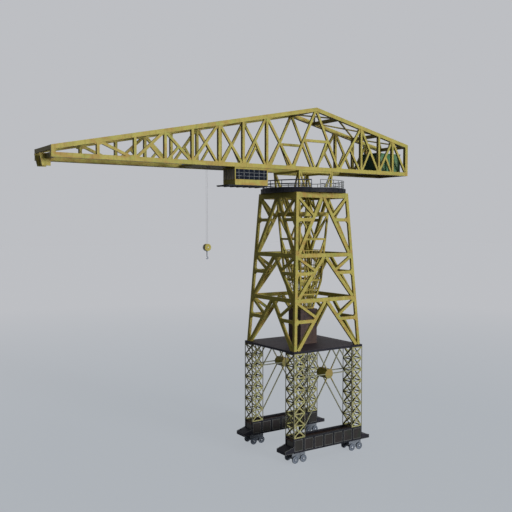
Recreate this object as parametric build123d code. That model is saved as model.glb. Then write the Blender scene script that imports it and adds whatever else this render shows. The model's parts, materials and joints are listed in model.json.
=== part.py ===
from build123d import *
import math
import os

# Travelling tower crane with a slewing hammerhead jib, as a 1:10 scale model.
# Frame: the origin is at rail level on the slewing axis, X runs along the rails
# and the jib, whose nose points to -X, Y runs across the rails, and Z is up.
# All sizes are those of the model, in millimetres.

# Travel wheels and bogies
wheel_radius = 42.0
wheel_width = 15.0
wheel_sides = 16
axle_radius = 8.0
axle_sides = 8
hub_radius = 14.0
hub_length = 4.0
axle_spacing = 112.0
bogie_setback = 86.0
bogie_plate = 13.0
bogie_overhang = 34.0
bogie_foot = 20.0
bogie_top_plate = 12.0
running_clearance = 0.3
wheel_gap = 3.0

# Sill girders along the rails
sill_base_z = 118.0
sill_height = 161.0
sill_web = 8.0
sill_flange = 9.0
sill_flange_lip = 5.0
sill_top_flange = 20.0
sill_recess = 12.0
sill_panels = 8
sill_rib = 5.0
sill_rib_depth = 4.0
sill_floor_drop = 14.0
buffer_length = 118.0
buffer_shoulder = 53.0
buffer_root_height = 66.0
buffer_tip_height = 38.0

# Portal legs and deck
deck_half = 500.0
deck_thickness = 25.0
leg_height = 945.0
leg_side = 161.0
leg_panels = 7
leg_post = 13.0
leg_bar = 9.0
leg_plate = 7.0

# Portal bracing over each sill
drum_width = 106.0
drum_corner = 31.0
drum_panels = 5
rod = 11.0
deck_tie_x = 160.0

# Machine box on the deck
box_side = 240.0
box_height = 409.0
socket_radius = 30.0
socket_sides = 16
socket_depth = 20.0

# Fixed tower
tower_setback = 19.0
tower_taper = 105.0
lower_stage = 573.0
middle_stage = 506.0
top_stage = 693.0
tower_plate = 25.0
post_width = 36.0
beam_height = 45.0
top_beam_height = 60.0
brace_width = 40.0
strut_width = 30.0
strut_foot = 0.33
foot_inset = 16.0
apex_offset = 18.0
stub_height = 0.395
stub_width = 37.0
stub_gusset = 21.0

# Bearing ring and guard rail
ring_overhang = 127.6
ring_gap = 32.0
ring_height = 50.0
ring_sides = 40
rail_inset = 12.0
rail_height = 95.0
rail_bar = 7.0
rail_posts = 14

# Slewing column
column_inset = 8.0
column_kink_half = 162.0
column_foot_half = 96.0
column_foot_height = 329.0
column_lower_bay = 484.0
column_middle_bay = 279.0
column_post = 20.0
column_plate = 16.0
column_bar = 16.0
column_beam = 22.0
column_ring_beam = 31.0
belt_inset = 2.0
foot_plate = 14.0
foot_clearance = 3.0

# Jib trusses
truss_half_gap = 240.0
truss_depth = 40.0
post_depth = 36.0
web_depth = 22.0
chord_height = 45.0
jib_rise = 202.0
jib_bays = (340.0, 350.0, 310.0, 300.0, 320.0, 310.0, 330.0, 380.0, 452.0)
tail_bays = (340.0, 350.0, 290.0, 230.0, 240.0)
tail_margin = 18.0
nose_rise = 67.0
peak_rise = 684.0
tail_rise = 345.0
brace_bar = 28.0
post_bar = 28.0
strut_bar = 24.0
tie_bar = 30.0
tie_drop = 0.528
node_gap = 3.0
end_post = 42.0
lateral_bar = 20.0
lateral_thickness = 12.0
lateral_drop = 12.0
cross_beam = 30.0
cross_beam_drop = 4.0
bracket_reach = 58.0
bracket_root = 52.0
bracket_slope = 28.0
bracket_rise = 4.0
bracket_drop = 68.0
bracket_half = 70.0
bracket_plate = 14.0

# Tail machinery
house_length = 402.0
house_setback = 26.0
house_gap = 70.0
house_height = 232.0
house_wall = 6.0
counterweight_gap = 2.0
counterweight_length = 230.0
counterweight_height = 200.0
floor_length = 708.0
floor_plate = 8.0
floor_beam = 24.0

# Operator's cab
cab_start_x = -1100.0
cab_length = 427.0
cab_width = 243.0
cab_height = 199.0
cab_wall = 7.0
cab_floor = 9.0
cab_roof = 8.0
cab_balcony = 86.0
window_sill = 60.0
window_head = 12.0
window_end_post = 3.0
glass = 3.0

# Trolley, falls and hook
trolley_x = -1257.0
trolley_length = 540.0
trolley_gap = 5.0
trolley_lift = 6.0
trolley_beam = 24.0
trolley_plate = 6.0
trolley_rim = 12.0
ledge_width = 15.0
ledge_lift = 4.0
ledge_height = 12.0
runway_end_x = -300.0
trolley_wheel_radius = 16.0
trolley_wheel_width = 8.0
trolley_wheel_inset = 40.0
trolley_wheel_sides = 12
rope_offset = -54.0
rope_radius = 1.2
rope_sides = 8
rope_seat = 1.8
rope_gap = 30.0
slot_margin = 12.0
slot_width = 56.0
sheave_radius = 30.0
sheave_groove = 4.0
sheave_flange = 3.0
sheave_width = 12.0
sheave_shaft = 7.0
sheave_sides = 16
fall_length = 897.0
block_radius = 40.0
block_thickness = 50.0
block_cheek = 4.0
block_sheave_radius = 34.0
block_sides = 16
shank_length = 73.0
shank_radius = 5.0
shank_sides = 8
hook_radius = 12.0
hook_bar = 5.0
hook_sides = 16


# The two sides of the crane across the rails, and its two ends along them
sides = {-1: "near", 1: "far"}
ends = {-1: "left", 1: "right"}


# Sizes that follow from those above

axle_z = wheel_radius
bogie_centre_x = deck_half - bogie_setback
sill_top_z = sill_base_z + sill_height
deck_base_z = sill_top_z + leg_height
deck_top_z = deck_base_z + deck_thickness
panel_height = leg_height / leg_panels
leg_centre = deck_half - leg_side / 2
leg_inner = deck_half - leg_side

tower_base_half = deck_half - tower_setback
lower_beam_z = deck_top_z + lower_stage
upper_beam_z = lower_beam_z + middle_stage
tower_top_z = upper_beam_z + top_stage
tower_lean = tower_taper / (tower_top_z - deck_top_z)
tower_slope = math.sqrt(1 + tower_lean**2)
tower_stages = (
    (deck_top_z, lower_beam_z, beam_height),
    (lower_beam_z, upper_beam_z, beam_height),
    (upper_beam_z, tower_top_z, top_beam_height),
)
ring_top_z = tower_top_z + ring_height

chord_base_z = ring_top_z + jib_rise
chord_top_z = chord_base_z + chord_height
peak_z = chord_top_z + peak_rise
nose_top_z = chord_top_z + nose_rise
tail_top_z = chord_top_z + tail_rise
nose_x = -sum(jib_bays)
tail_x = sum(tail_bays) + tail_margin

box_top_z = deck_top_z + box_height
pivot_radius = socket_radius - running_clearance
foot_z = box_top_z + foot_clearance
column_kink_z = foot_z + column_foot_height
column_brace_z = column_kink_z + column_lower_bay
column_ring_z = column_brace_z + column_middle_bay
column_top_z = chord_base_z
column_top_half = truss_half_gap + truss_depth / 2 - column_inset
column_lean = (column_top_half - column_kink_half) / (column_top_z - column_kink_z)
column_stretch = math.sqrt(1 + column_lean**2)


def column_half(z):
    """Half the column's width at a height above the kink."""
    return column_kink_half + (z - column_kink_z) * column_lean


ring_bore = math.sqrt(2) * column_half(ring_top_z) + ring_gap
ring_radius = tower_base_half - tower_taper + ring_overhang

chord_inner = truss_half_gap - truss_depth / 2
bracket_tip_x = nose_x - bracket_reach
bracket_root_x = nose_x + bracket_root
bracket_top_z = chord_top_z + bracket_rise
bracket_base_z = chord_base_z - bracket_drop
house_end_x = tail_x - house_setback
house_start_x = house_end_x - house_length
house_half_width = chord_inner - house_gap
floor_start_x = tail_x - floor_length
cab_end_x = cab_start_x + cab_length
cab_base_z = chord_base_z - cab_height
cab_wall_base = cab_base_z + cab_floor
cab_wall_top = chord_base_z - cab_roof
window_low = cab_wall_base + window_sill
window_high = cab_wall_top - window_head

ledge_base_z = chord_base_z + ledge_lift
trolley_base_z = chord_base_z + trolley_lift
trolley_top_z = trolley_base_z + trolley_beam
trolley_half = chord_inner - ledge_width - trolley_gap
trolley_ends = (trolley_x - trolley_length / 2, trolley_x + trolley_length / 2)
trolley_wheel_z = ledge_base_z + ledge_height + running_clearance + trolley_wheel_radius
rope_x = trolley_x + rope_offset
sheave_x = rope_x + sheave_radius - sheave_groove + rope_seat
sheave_z = trolley_top_z
block_centre_z = sheave_z - fall_length
hook_base_z = block_centre_z - block_sheave_radius - shank_length


def box_between(low, high):
    """A box from its lowest to its highest corner."""
    size = [b - a for a, b in zip(low, high)]
    middle = [(a + b) / 2 for a, b in zip(low, high)]
    return Pos(*middle) * Box(*size)


def bar(start, end, width):
    """A flat bar of a lattice, as a rectangle in the sketch plane."""
    run = Vector(*end) - Vector(*start)
    angle = math.degrees(math.atan2(run.Y, run.X))
    middle = (Vector(*start) + Vector(*end)) / 2
    return Pos(middle.X, middle.Y) * Rot(0, 0, angle) * Rectangle(run.length, width)


def strip(low, high):
    """An upright rectangle in the sketch plane, from corner to corner."""
    return bar(((low[0] + high[0]) / 2, low[1]), ((low[0] + high[0]) / 2, high[1]), high[0] - low[0])


def area(points):
    """The face inside a closed outline."""
    return make_face(Polyline(*points, close=True))


def fuse(shapes):
    """One shape out of several that meet."""
    shapes = list(shapes)
    return shapes[0] + shapes[1:]


def turned(shape, quarter):
    """A copy of a shape, turned about the slewing axis by quarter turns."""
    return Rot(0, 0, 90 * quarter) * shape


def upright(front_y):
    """A vertical sketch plane, with its y axis up and its normal to the front."""
    return Plane(origin=(0, front_y, 0), x_dir=(1, 0, 0), z_dir=(0, -1, 0))


def polygon(radius, sides, corners_out=True):
    """A polygon with a flat side below, its radius to the corners or else to the flats."""
    return Rot(0, 0, 180 / sides) * RegularPolygon(radius, sides, major_radius=corners_out)


def across(x, z, sketch, y_low, y_high):
    """A prism across the rails, about a point of the X-Z plane."""
    return extrude(upright(y_high) * (Pos(x, z) * sketch), amount=y_high - y_low)


def on_side(shape, side):
    """A shape drawn on the far side, or its mirror image on the near side."""
    return shape if side > 0 else mirror(shape, Plane.XZ)


def save(node, shape):
    """Writes one named piece."""
    solids = shape.solids() if hasattr(shape, "solids") else [s for p in shape for s in p.solids()]
    solids = list(solids)
    piece = solids[0] if len(solids) == 1 else Compound(children=solids)
    piece.label = node
    export_step(piece, f"parts/{node}.step")


# Travel wheels, bogies and sills


def wheelset(x, side):
    """Two wheels on their axle, across the rails under one sill."""
    outer = deck_half - hub_length
    inner = leg_inner + hub_length
    wheel = polygon(wheel_radius, wheel_sides, corners_out=False)
    hub = polygon(hub_radius, axle_sides)
    parts = [
        across(x, axle_z, wheel, outer - wheel_width, outer),
        across(x, axle_z, wheel, inner, inner + wheel_width),
        across(x, axle_z, hub, outer, deck_half),
        across(x, axle_z, hub, leg_inner, inner),
        across(x, axle_z, polygon(axle_radius, axle_sides), leg_inner, deck_half),
    ]
    return on_side(fuse(parts), side)


def bogie(end, side):
    """The frame of one bogie: two side plates with axle holes, under a top plate."""
    half = axle_spacing / 2 + bogie_overhang
    plate = area([
        (-half, sill_base_z),
        (half, sill_base_z),
        (half, axle_z + hub_radius),
        (half - bogie_overhang / 2, bogie_foot),
        (axle_spacing / 4, bogie_foot + hub_radius),
        (-axle_spacing / 4, bogie_foot + hub_radius),
        (bogie_overhang / 2 - half, bogie_foot),
        (-half, axle_z + hub_radius),
    ])
    for x in (-axle_spacing / 2, axle_spacing / 2):
        plate -= Pos(x, axle_z) * polygon(axle_radius + running_clearance, axle_sides, corners_out=False)
    outer = deck_half - hub_length - wheel_width - wheel_gap
    inner = leg_inner + hub_length + wheel_width + wheel_gap
    side_plates = [
        extrude(upright(outer) * plate, amount=bogie_plate),
        extrude(upright(inner + bogie_plate) * plate, amount=bogie_plate),
    ]
    top = box_between((-half, inner, sill_base_z - bogie_top_plate), (half, outer, sill_base_z))
    frame = Pos(end * bogie_centre_x, 0, 0) * fuse(side_plates + [top])
    return on_side(frame, side)


def sill(side):
    """A box girder with ribs on both webs, open recessed ends and sloped buffers."""
    low_y = leg_inner
    high_y = deck_half
    web_low = low_y + sill_flange_lip
    web_high = high_y - sill_flange_lip
    floor_z = sill_base_z + sill_flange
    roof_z = sill_top_z - sill_flange
    length = deck_half
    pieces = [
        box_between((-length, low_y, sill_base_z), (length, high_y, floor_z)),
        box_between((-length, low_y, roof_z), (length, low_y + sill_top_flange, sill_top_z)),
        box_between((-length, high_y - sill_top_flange, roof_z), (length, high_y, sill_top_z)),
        box_between((-length, web_low, floor_z), (length, web_low + sill_web, roof_z)),
        box_between((-length, web_high - sill_web, floor_z), (length, web_high, roof_z)),
        box_between(
            (-length, web_low, roof_z - sill_floor_drop - sill_web),
            (length, web_high, roof_z - sill_floor_drop),
        ),
    ]
    for end in ends:
        x = end * (length - sill_recess - sill_web / 2)
        low = (x - sill_web / 2, web_low, floor_z)
        pieces.append(box_between(low, (x + sill_web / 2, web_high, roof_z)))
    spacing = (2 * length - sill_rib) / sill_panels
    for i in range(sill_panels + 1):
        x = -length + sill_rib / 2 + i * spacing
        for a, b in ((web_low - sill_rib_depth, web_low), (web_high, web_high + sill_rib_depth)):
            pieces.append(box_between((x - sill_rib / 2, a, floor_z), (x + sill_rib / 2, b, roof_z)))
    for end in ends:
        pieces.append(buffer_nose(end))
    return on_side(fuse(pieces), side)


def buffer_nose(end):
    """The solid wedge at one end of a sill."""
    root = end * deck_half
    tip = end * (deck_half + buffer_length)
    outline = area([
        (root, sill_base_z),
        (tip, sill_base_z),
        (tip, sill_base_z + buffer_tip_height),
        (root + end * buffer_shoulder, sill_base_z + buffer_root_height),
        (root, sill_base_z + buffer_root_height),
    ])
    return extrude(upright(deck_half) * outline, amount=leg_side)


# Portal legs, bracing and deck


def lattice_side(width, height, panels, post, cross):
    """One flat side of a leg: posts, horizontals and a crossed pair in each panel."""
    step = height / panels
    outline = strip((-width / 2, 0), (width / 2, height))
    inner = width / 2 - post
    for i in range(panels):
        low = i * step + cross / 2
        high = (i + 1) * step - cross / 2
        window = strip((-inner, low), (inner, high))
        window -= bar((-inner, low), (inner, high), cross)
        window -= bar((-inner, high), (inner, low), cross)
        outline -= window
    return outline


def leg(x_side, y_side):
    """A square lattice leg, from the sill to the deck."""
    half = leg_side / 2
    side = lattice_side(leg_side, leg_height, leg_panels, leg_post, leg_bar)
    wall = extrude(upright(-half) * side, amount=-leg_plate)
    walls = fuse([Rot(0, 0, 90 * i) * wall for i in range(4)])
    return Pos(x_side * leg_centre, y_side * leg_centre, sill_top_z) * walls


def portal_bracing(side):
    """The drum between two legs, with the rods that hold it in both leg planes."""
    drum_z = sill_top_z + drum_panels * panel_height
    foot_z = sill_top_z + panel_height
    fronts = (leg_inner + rod, deck_half)
    drum_outline = chamfer(Rectangle(drum_width, drum_width).vertices(), drum_corner)
    drum = across(0, drum_z, drum_outline, leg_inner, deck_half)
    lines = []
    for x in ends:
        lines += [
            ((0, drum_z), (x * leg_inner, drum_z)),
            ((0, drum_z), (x * deck_tie_x, deck_base_z)),
            ((x * deck_tie_x, deck_base_z), (x * leg_inner, drum_z)),
            ((0, drum_z), (x * leg_inner, foot_z)),
        ]
    room = strip((-leg_inner, sill_top_z), (leg_inner, deck_base_z))
    sketch = fuse(bar(a, b, rod) for a, b in lines) & room
    rods = [extrude(upright(front) * sketch, amount=rod) for front in fronts]
    return on_side(fuse([drum] + rods), side)


def machine_box():
    """The box on the deck, with the socket of the column's foot in its top."""
    body = box_between((-box_side / 2, -box_side / 2, deck_top_z), (box_side / 2, box_side / 2, box_top_z))
    hole = polygon(socket_radius, socket_sides, corners_out=False)
    return body - Pos(0, 0, box_top_z - socket_depth) * extrude(hole, amount=socket_depth)


# Fixed tower


def tower_half(z):
    """Half the tower's width at a height."""
    return tower_base_half - (z - deck_top_z) * tower_lean


def tower_plane():
    """The leaning plane of the front face, with its y axis up the slope."""
    return Plane(
        origin=(0, -tower_base_half, deck_top_z),
        x_dir=(1, 0, 0),
        z_dir=Vector(0, -1, tower_lean).normalized(),
    )


def on_face(x, z):
    """A point of the front face in its own plane, from x and its real height."""
    return (x, (z - deck_top_z) * tower_slope)


def face_plate(sketch):
    """A flat piece of the front face, as thick as the tower's plates."""
    return extrude(tower_plane() * sketch, amount=tower_plate, dir=(0, 1, 0))


def tower_posts():
    """The four leaning corner posts, each a broad angle."""
    def section(z):
        h = tower_half(z)
        outer = area([
            (-h, -h),
            (-h + post_width, -h),
            (-h + post_width, -h + tower_plate),
            (-h + tower_plate, -h + tower_plate),
            (-h + tower_plate, -h + post_width),
            (-h, -h + post_width),
        ])
        return Pos(0, 0, z) * outer

    post = loft([section(deck_top_z), section(tower_top_z)])
    return [turned(post, i) for i in range(4)]


def tower_beams():
    """The level beams between the posts, three on each face."""
    beams = []
    for base, top, height in tower_stages:
        low = top - height
        plate = area([
            on_face(post_width - tower_half(low), low),
            on_face(tower_half(low) - post_width, low),
            on_face(tower_half(top) - post_width, top),
            on_face(post_width - tower_half(top), top),
        ])
        beams += [turned(face_plate(plate), i) for i in range(4)]
    return beams


def post_edge(side, z):
    """A point on the inner edge of a corner post, in the plane of the front face."""
    return on_face(side * (tower_half(z) - post_width), z)


def stage_bracing(base, top, beam):
    """The bracing of one stage: a V from the beam's middle, with corner struts and gusseted stubs."""
    head = top - beam
    rise = head - base
    level = head - rise * stub_height
    reach = stub_width / 2 + stub_gusset
    sketches = []
    for x in ends:
        foot = (x * (tower_half(base) - post_width - foot_inset), base)
        apex = (x * apex_offset, head)
        corner = (x * (tower_half(head) - post_width), head)
        landing = tuple(b + (a - b) * strut_foot for a, b in zip(foot, apex))
        leg_x = apex[0] + (foot[0] - apex[0]) * (head - level) / rise
        lines = (
            (foot, apex, brace_width),
            (corner, landing, strut_width),
            ((x * tower_half(level), level), (leg_x, level), stub_width),
        )
        sketches += [bar(on_face(*a), on_face(*b), width) for a, b, width in lines]
        gusset_x = x * (tower_half(level) - post_width - stub_gusset)
        sketches.append(area([
            post_edge(x, level + reach),
            on_face(gusset_x, level + stub_width / 2),
            on_face(gusset_x, level - stub_width / 2),
            post_edge(x, level - reach),
        ]))
    inside = area([post_edge(-1, base), post_edge(1, base), post_edge(1, head), post_edge(-1, head)])
    return face_plate(fuse(sketches) & inside)


# Bearing ring and guard rail


def ring():
    """The ring on the tower's top, with the bore that the column turns in."""
    outer = RegularPolygon(ring_radius, ring_sides)
    inner = RegularPolygon(ring_bore, ring_sides, major_radius=False)
    return Pos(0, 0, tower_top_z) * extrude(outer - inner, amount=ring_height)


def railing():
    """The guard rail round the ring: posts with a top and a middle rail."""
    radius = ring_radius - rail_inset - rail_bar
    band = RegularPolygon(radius, rail_posts) - offset(RegularPolygon(radius, rail_posts), -rail_bar)
    pieces = []
    for level in (rail_height - rail_bar, rail_height / 2):
        pieces.append(Pos(0, 0, ring_top_z + level) * extrude(band, amount=rail_bar))
    for i in range(rail_posts):
        post = Pos(radius - rail_bar / 2, 0, rail_height / 2) * Box(rail_bar, rail_bar, rail_height)
        pieces.append(Pos(0, 0, ring_top_z) * Rot(0, 0, i * 360 / rail_posts) * post)
    return fuse(pieces)


# Slewing column


def column_side():
    """One flat side of the column's upper part, between the corner posts."""
    plane = Plane(
        origin=(0, -column_kink_half, column_kink_z),
        x_dir=(1, 0, 0),
        z_dir=Vector(0, -1, -column_lean).normalized(),
    )

    def at(x, z):
        return (x, (z - column_kink_z) * column_stretch)

    def inner(z):
        return column_half(z) - column_post

    levels = (
        (column_kink_z, column_beam),
        (column_brace_z, column_beam),
        (column_ring_z, column_ring_beam),
        (column_top_z - column_beam, column_beam),
    )
    lines = []
    for z, height in levels:
        middle = z + height / 2
        lines.append(((-inner(middle), middle), (inner(middle), middle), height))
    for x in ends:
        lines.append(((x * inner(column_top_z), column_top_z), (0, column_ring_z), column_bar))
        lines.append(((x * inner(column_ring_z), column_ring_z), (0, column_brace_z), column_bar))
        lines.append(((x * inner(column_brace_z), column_brace_z), (0, column_kink_z), column_bar))
    sketch = fuse(bar(at(*a), at(*b), width) for a, b, width in lines)
    inside = area([
        at(-inner(column_kink_z), column_kink_z),
        at(inner(column_kink_z), column_kink_z),
        at(inner(column_top_z), column_top_z),
        at(-inner(column_top_z), column_top_z),
    ])
    return extrude(plane * (sketch & inside), amount=column_plate, dir=(0, 1, 0))


def corner_section(z, half):
    """The section of a corner post at a height, from half the column's width there."""
    middle = half - column_post / 2
    return Pos(-middle, -middle, z) * Rectangle(column_post, column_post)


def column_posts():
    """The four corner posts of the column's upper part."""
    low = corner_section(column_kink_z, column_kink_half)
    high = corner_section(column_top_z, column_top_half)
    post = loft([low, high])
    return [turned(post, i) for i in range(4)]


def column_foot():
    """The narrowing foot of the column, its foot plate and the pivot below it."""
    top = column_kink_z
    base = foot_z + foot_plate
    half = column_foot_half
    post = loft([corner_section(base, half), corner_section(top, column_kink_half)])
    plate = box_between((-half, -half, foot_z), (half, half, base))
    pin_base = box_top_z - socket_depth + foot_clearance
    pin = Pos(0, 0, pin_base) * extrude(polygon(pivot_radius, socket_sides), amount=foot_z - pin_base)
    middle_z = (base + top) / 2
    edge = (half + column_kink_half) / 2 - belt_inset
    belt = box_between(
        (-edge, -edge, middle_z - column_bar / 2),
        (edge, column_post - edge - belt_inset, middle_z + column_bar / 2),
    )
    return fuse([turned(piece, i) for i in range(4) for piece in (post, belt)] + [plate, pin])


# Jib trusses


def stations(bays, direction):
    """Where the nodes of one arm of the jib lie, from the mast outward."""
    return [direction * sum(bays[:i]) for i in range(len(bays) + 1)]


nose_arm = stations(jib_bays, -1)
tail_arm = stations(tail_bays, 1)
nose_panels = nose_arm[:-1]
top_nodes = sorted(set(nose_panels[::2] + tail_arm[::2]))
bottom_nodes = sorted(nose_panels[1::2] + tail_arm[1::2])
mast_nodes = (nose_arm[1], 0.0, tail_arm[1])
post_nodes = [x for x in sorted(top_nodes + bottom_nodes) if x not in mast_nodes and x != tail_arm[-1]]
strut_nodes = top_nodes[1:]
nose_stops = nose_arm[:1] + nose_arm[2::2] + nose_arm[-1:]
deep_beams = tail_arm[1:-1:2]
tail_stops = [0.0] + deep_beams + [tail_x]


def top_z(x):
    """The upper edge of the top chord at a place along the jib."""
    if x < 0:
        return peak_z + (nose_top_z - peak_z) * x / nose_x
    return peak_z + (tail_top_z - peak_z) * x / tail_x


def truss_plate(sketch, side, depth):
    """A flat piece of one truss, centred in the depth of its chords."""
    front = side * truss_half_gap + depth / 2
    return extrude(upright(front) * sketch, amount=depth)


def bottom_chord(side):
    """The level chord of one truss."""
    return truss_plate(strip((nose_x, chord_base_z), (tail_x, chord_top_z)), side, truss_depth)


def top_chord(side):
    """The chord that rises from the nose to the peak and falls to the tail, and its end posts."""
    def under(x, lift):
        return (x, top_z(x) - lift)

    outline = area([
        (nose_x, chord_top_z),
        under(nose_x, 0),
        (0, peak_z),
        under(tail_x, 0),
        (tail_x, chord_top_z),
        (tail_x - end_post, chord_top_z),
        under(tail_x - end_post, chord_height),
        (0, peak_z - chord_height),
        under(nose_x + end_post, chord_height),
        (nose_x + end_post, chord_top_z),
    ])
    return truss_plate(outline, side, truss_depth)


def web_area():
    """The area between the chords of a truss."""
    start = nose_x + end_post
    end = tail_x - end_post
    return area([
        (start, chord_top_z),
        (start, top_z(start) - chord_height),
        (0, peak_z - chord_height),
        (end, top_z(end) - chord_height),
        (end, chord_top_z),
    ])


def clear_of(x):
    """How far a diagonal stays from a node's centre line."""
    return node_gap + (post_bar / 2 if x in post_nodes else 0)


def diagonals(side):
    """The main diagonals, which zigzag between the chords."""
    nodes = sorted(top_nodes + bottom_nodes)
    web = web_area()
    found = []
    for left, right in zip(nodes, nodes[1:]):
        ends = []
        for x in (left, right):
            z = top_z(x) - chord_height / 2 if x in top_nodes else chord_base_z + chord_height / 2
            ends.append((x, z))
        slab = strip((left + clear_of(left), chord_base_z), (right - clear_of(right), peak_z))
        found.append(truss_plate(bar(*ends, brace_bar) & web & slab, side, web_depth))
    return found


def posts(side):
    """The upright members of the web."""
    web = web_area()
    found = []
    for x in post_nodes:
        upright_bar = strip((x - post_bar / 2, chord_base_z), (x + post_bar / 2, peak_z))
        found.append(truss_plate(upright_bar & web, side, post_depth))
    return found


def diagonal_axis(top_x, bottom_x):
    """The centre line of a main diagonal, between its two nodes."""
    return (top_x, top_z(top_x) - chord_height / 2), (bottom_x, chord_base_z + chord_height / 2)


def point_on(line, share):
    """A point a part of the way along a line in the sketch plane."""
    return tuple(a + (b - a) * share for a, b in zip(*line))


def strut(top_x, bottom_x):
    """A short strut, from the middle of a diagonal to the chord below the diagonal's top."""
    line = diagonal_axis(top_x, bottom_x)
    edge = top_x + math.copysign(clear_of(top_x), bottom_x - top_x)
    room = strip((min(edge, bottom_x), chord_base_z), (max(edge, bottom_x), peak_z))
    shape = bar(point_on(line, 0.5), (top_x, chord_base_z), strut_bar)
    return (shape & web_area() & room) - bar(*line, brace_bar)


def peak_frame():
    """The tie under the peak, with the two struts that meet its ends."""
    lines = [diagonal_axis(0.0, arm[1]) for arm in (nose_arm, tail_arm)]
    tie = bar(point_on(lines[0], tie_drop), point_on(lines[1], tie_drop), tie_bar)
    for line in lines:
        tie -= bar(*line, brace_bar)
    return fuse([tie] + [strut(0.0, arm[1]) for arm in (nose_arm, tail_arm)])


def struts(side):
    """The short struts of one truss, and the frame under its peak."""
    nodes = sorted(top_nodes + bottom_nodes)
    found = [truss_plate(peak_frame(), side, web_depth)]
    for top_x in strut_nodes:
        place = nodes.index(top_x)
        for bottom_x in (nodes[place - 1], nodes[place + 1]):
            if top_x != 0 and bottom_x != bottom_nodes[-1]:
                found.append(truss_plate(strut(top_x, bottom_x), side, web_depth))
    return found


# Cross bracing between the trusses


def top_bracing():
    """Crossed laterals in the two sloping planes of the top chords, with light beams in the nose's."""
    planes = []
    for end_x, stops in ((nose_x, nose_stops), (tail_x, tail_stops)):
        run = math.copysign(1, end_x)
        drop = peak_z - top_z(end_x)
        stretch = math.hypot(end_x, drop) / abs(end_x)
        origin = (0, 0, peak_z - lateral_drop)
        plane = Plane(origin=origin, x_dir=(end_x, 0, -drop), z_dir=(run * drop, 0, abs(end_x)))
        marks = [abs(x) * stretch for x in stops]
        sketches = []
        for a, b in zip(marks, marks[1:]):
            for sign in ends:
                sketches.append(bar((a, -sign * chord_inner), (b, sign * chord_inner), lateral_bar))
        if end_x == nose_x:
            for mark in marks[1:-1]:
                low = (mark - cross_beam / 2, -chord_inner)
                sketches.append(strip(low, (mark + cross_beam / 2, chord_inner)))
        start = marks[0] + cross_beam
        room = strip((start, -chord_inner), (marks[-1] - cross_beam - node_gap, chord_inner))
        planes.append(extrude(plane * (fuse(sketches) & room), amount=-lateral_thickness))
    reach = cross_beam / 2
    for x in deep_beams:
        planes[1] -= box_between((x - reach, -chord_inner, chord_top_z), (x + reach, chord_inner, peak_z))
    return planes


def cross_beams():
    """The deep beams that tie the trusses at the nose, the peak and along the tail."""
    places = [nose_x + cross_beam / 2, 0.0] + deep_beams + [tail_x - cross_beam / 2]
    beams = []
    for x in places:
        low = (x - cross_beam / 2, -chord_inner, top_z(x) - chord_height)
        beams.append(box_between(low, (x + cross_beam / 2, chord_inner, top_z(x) - cross_beam_drop)))
    return beams


def nose_bracket():
    """Two hanging cheek plates at the nose, on a beam between the bottom chords."""
    outline = area([
        (bracket_tip_x, bracket_top_z),
        (bracket_tip_x + bracket_slope, bracket_base_z),
        (bracket_root_x, bracket_base_z),
        (bracket_root_x, bracket_top_z),
    ])
    cheeks = []
    for y in (-bracket_half, bracket_half):
        cheeks.append(extrude(upright(y + bracket_plate / 2) * outline, amount=bracket_plate))
    beam = box_between((nose_x, -chord_inner, chord_base_z), (bracket_root_x, chord_inner, chord_top_z))
    return fuse(cheeks + [beam])


# Tail machinery


def tail_floor():
    """The floor of the tail, level with the chords' tops, with a beam under each end."""
    base = chord_top_z - floor_plate
    pieces = [box_between((floor_start_x, -chord_inner, base), (tail_x, chord_inner, chord_top_z))]
    for start, width in ((floor_start_x, floor_beam), (tail_x - cross_beam, cross_beam)):
        pieces.append(box_between((start, -chord_inner, chord_base_z), (start + width, chord_inner, base)))
    return fuse(pieces)


def winch_house():
    """The sheet-metal house over the winches, open below onto the floor."""
    base = chord_top_z
    outer = box_between(
        (house_start_x, -house_half_width, base),
        (house_end_x, house_half_width, base + house_height),
    )
    inner = box_between(
        (house_start_x + house_wall, house_wall - house_half_width, base),
        (house_end_x - house_wall, house_half_width - house_wall, base + house_height - house_wall),
    )
    return outer - inner


def counterweight():
    """The block of ballast at the tail end of the house."""
    base = chord_top_z
    margin = house_wall + counterweight_gap
    return box_between(
        (house_end_x - margin - counterweight_length, margin - house_half_width, base),
        (house_end_x - margin, house_half_width - margin, base + counterweight_height),
    )


# Operator's cab


def cab_box(inset, low_z, high_z):
    """A block with the cab's plan, drawn in by an inset."""
    return box_between(
        (cab_start_x + inset, -truss_half_gap + inset, low_z),
        (cab_end_x - inset, cab_width - truss_half_gap - inset, high_z),
    )


def cab_windows(inset, depth):
    """The blocks of the three windows, at a depth behind the walls' faces."""
    near = -truss_half_gap
    far = cab_width - truss_half_gap
    side = cab_wall + window_end_post
    return [
        box_between(
            (cab_start_x + side, near + inset, window_low),
            (cab_end_x - side, near + inset + depth, window_high),
        ),
        box_between(
            (cab_start_x + side, far - inset - depth, window_low),
            (cab_end_x - side, far - inset, window_high),
        ),
        box_between(
            (cab_start_x + inset, near + side, window_low),
            (cab_start_x + inset + depth, far - side, window_high),
        ),
    ]


def cab_walls():
    """The four walls of the cab, with window openings in three and a door in the fourth."""
    shell = cab_box(0, cab_wall_base, cab_wall_top) - cab_box(cab_wall, cab_wall_base, cab_wall_top)
    for opening in cab_windows(0, cab_wall):
        shell -= opening
    return shell


def cab_roof_and_floor():
    """The cab's roof plate and its floor, which runs on as a balcony."""
    roof = cab_box(0, cab_wall_top, chord_base_z)
    low = (cab_start_x - cab_balcony, -truss_half_gap, cab_base_z)
    floor = box_between(low, (cab_end_x, cab_width - truss_half_gap, cab_wall_base))
    return roof, floor


# Trolley, falls and hook


def trolley_runway():
    """The two ledges inside the bottom chords that the trolley's wheels run on."""
    low = (bracket_root_x, chord_inner - ledge_width, ledge_base_z)
    ledge = box_between(low, (runway_end_x, chord_inner, ledge_base_z + ledge_height))
    return [on_side(ledge, side) for side in sides]


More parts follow.
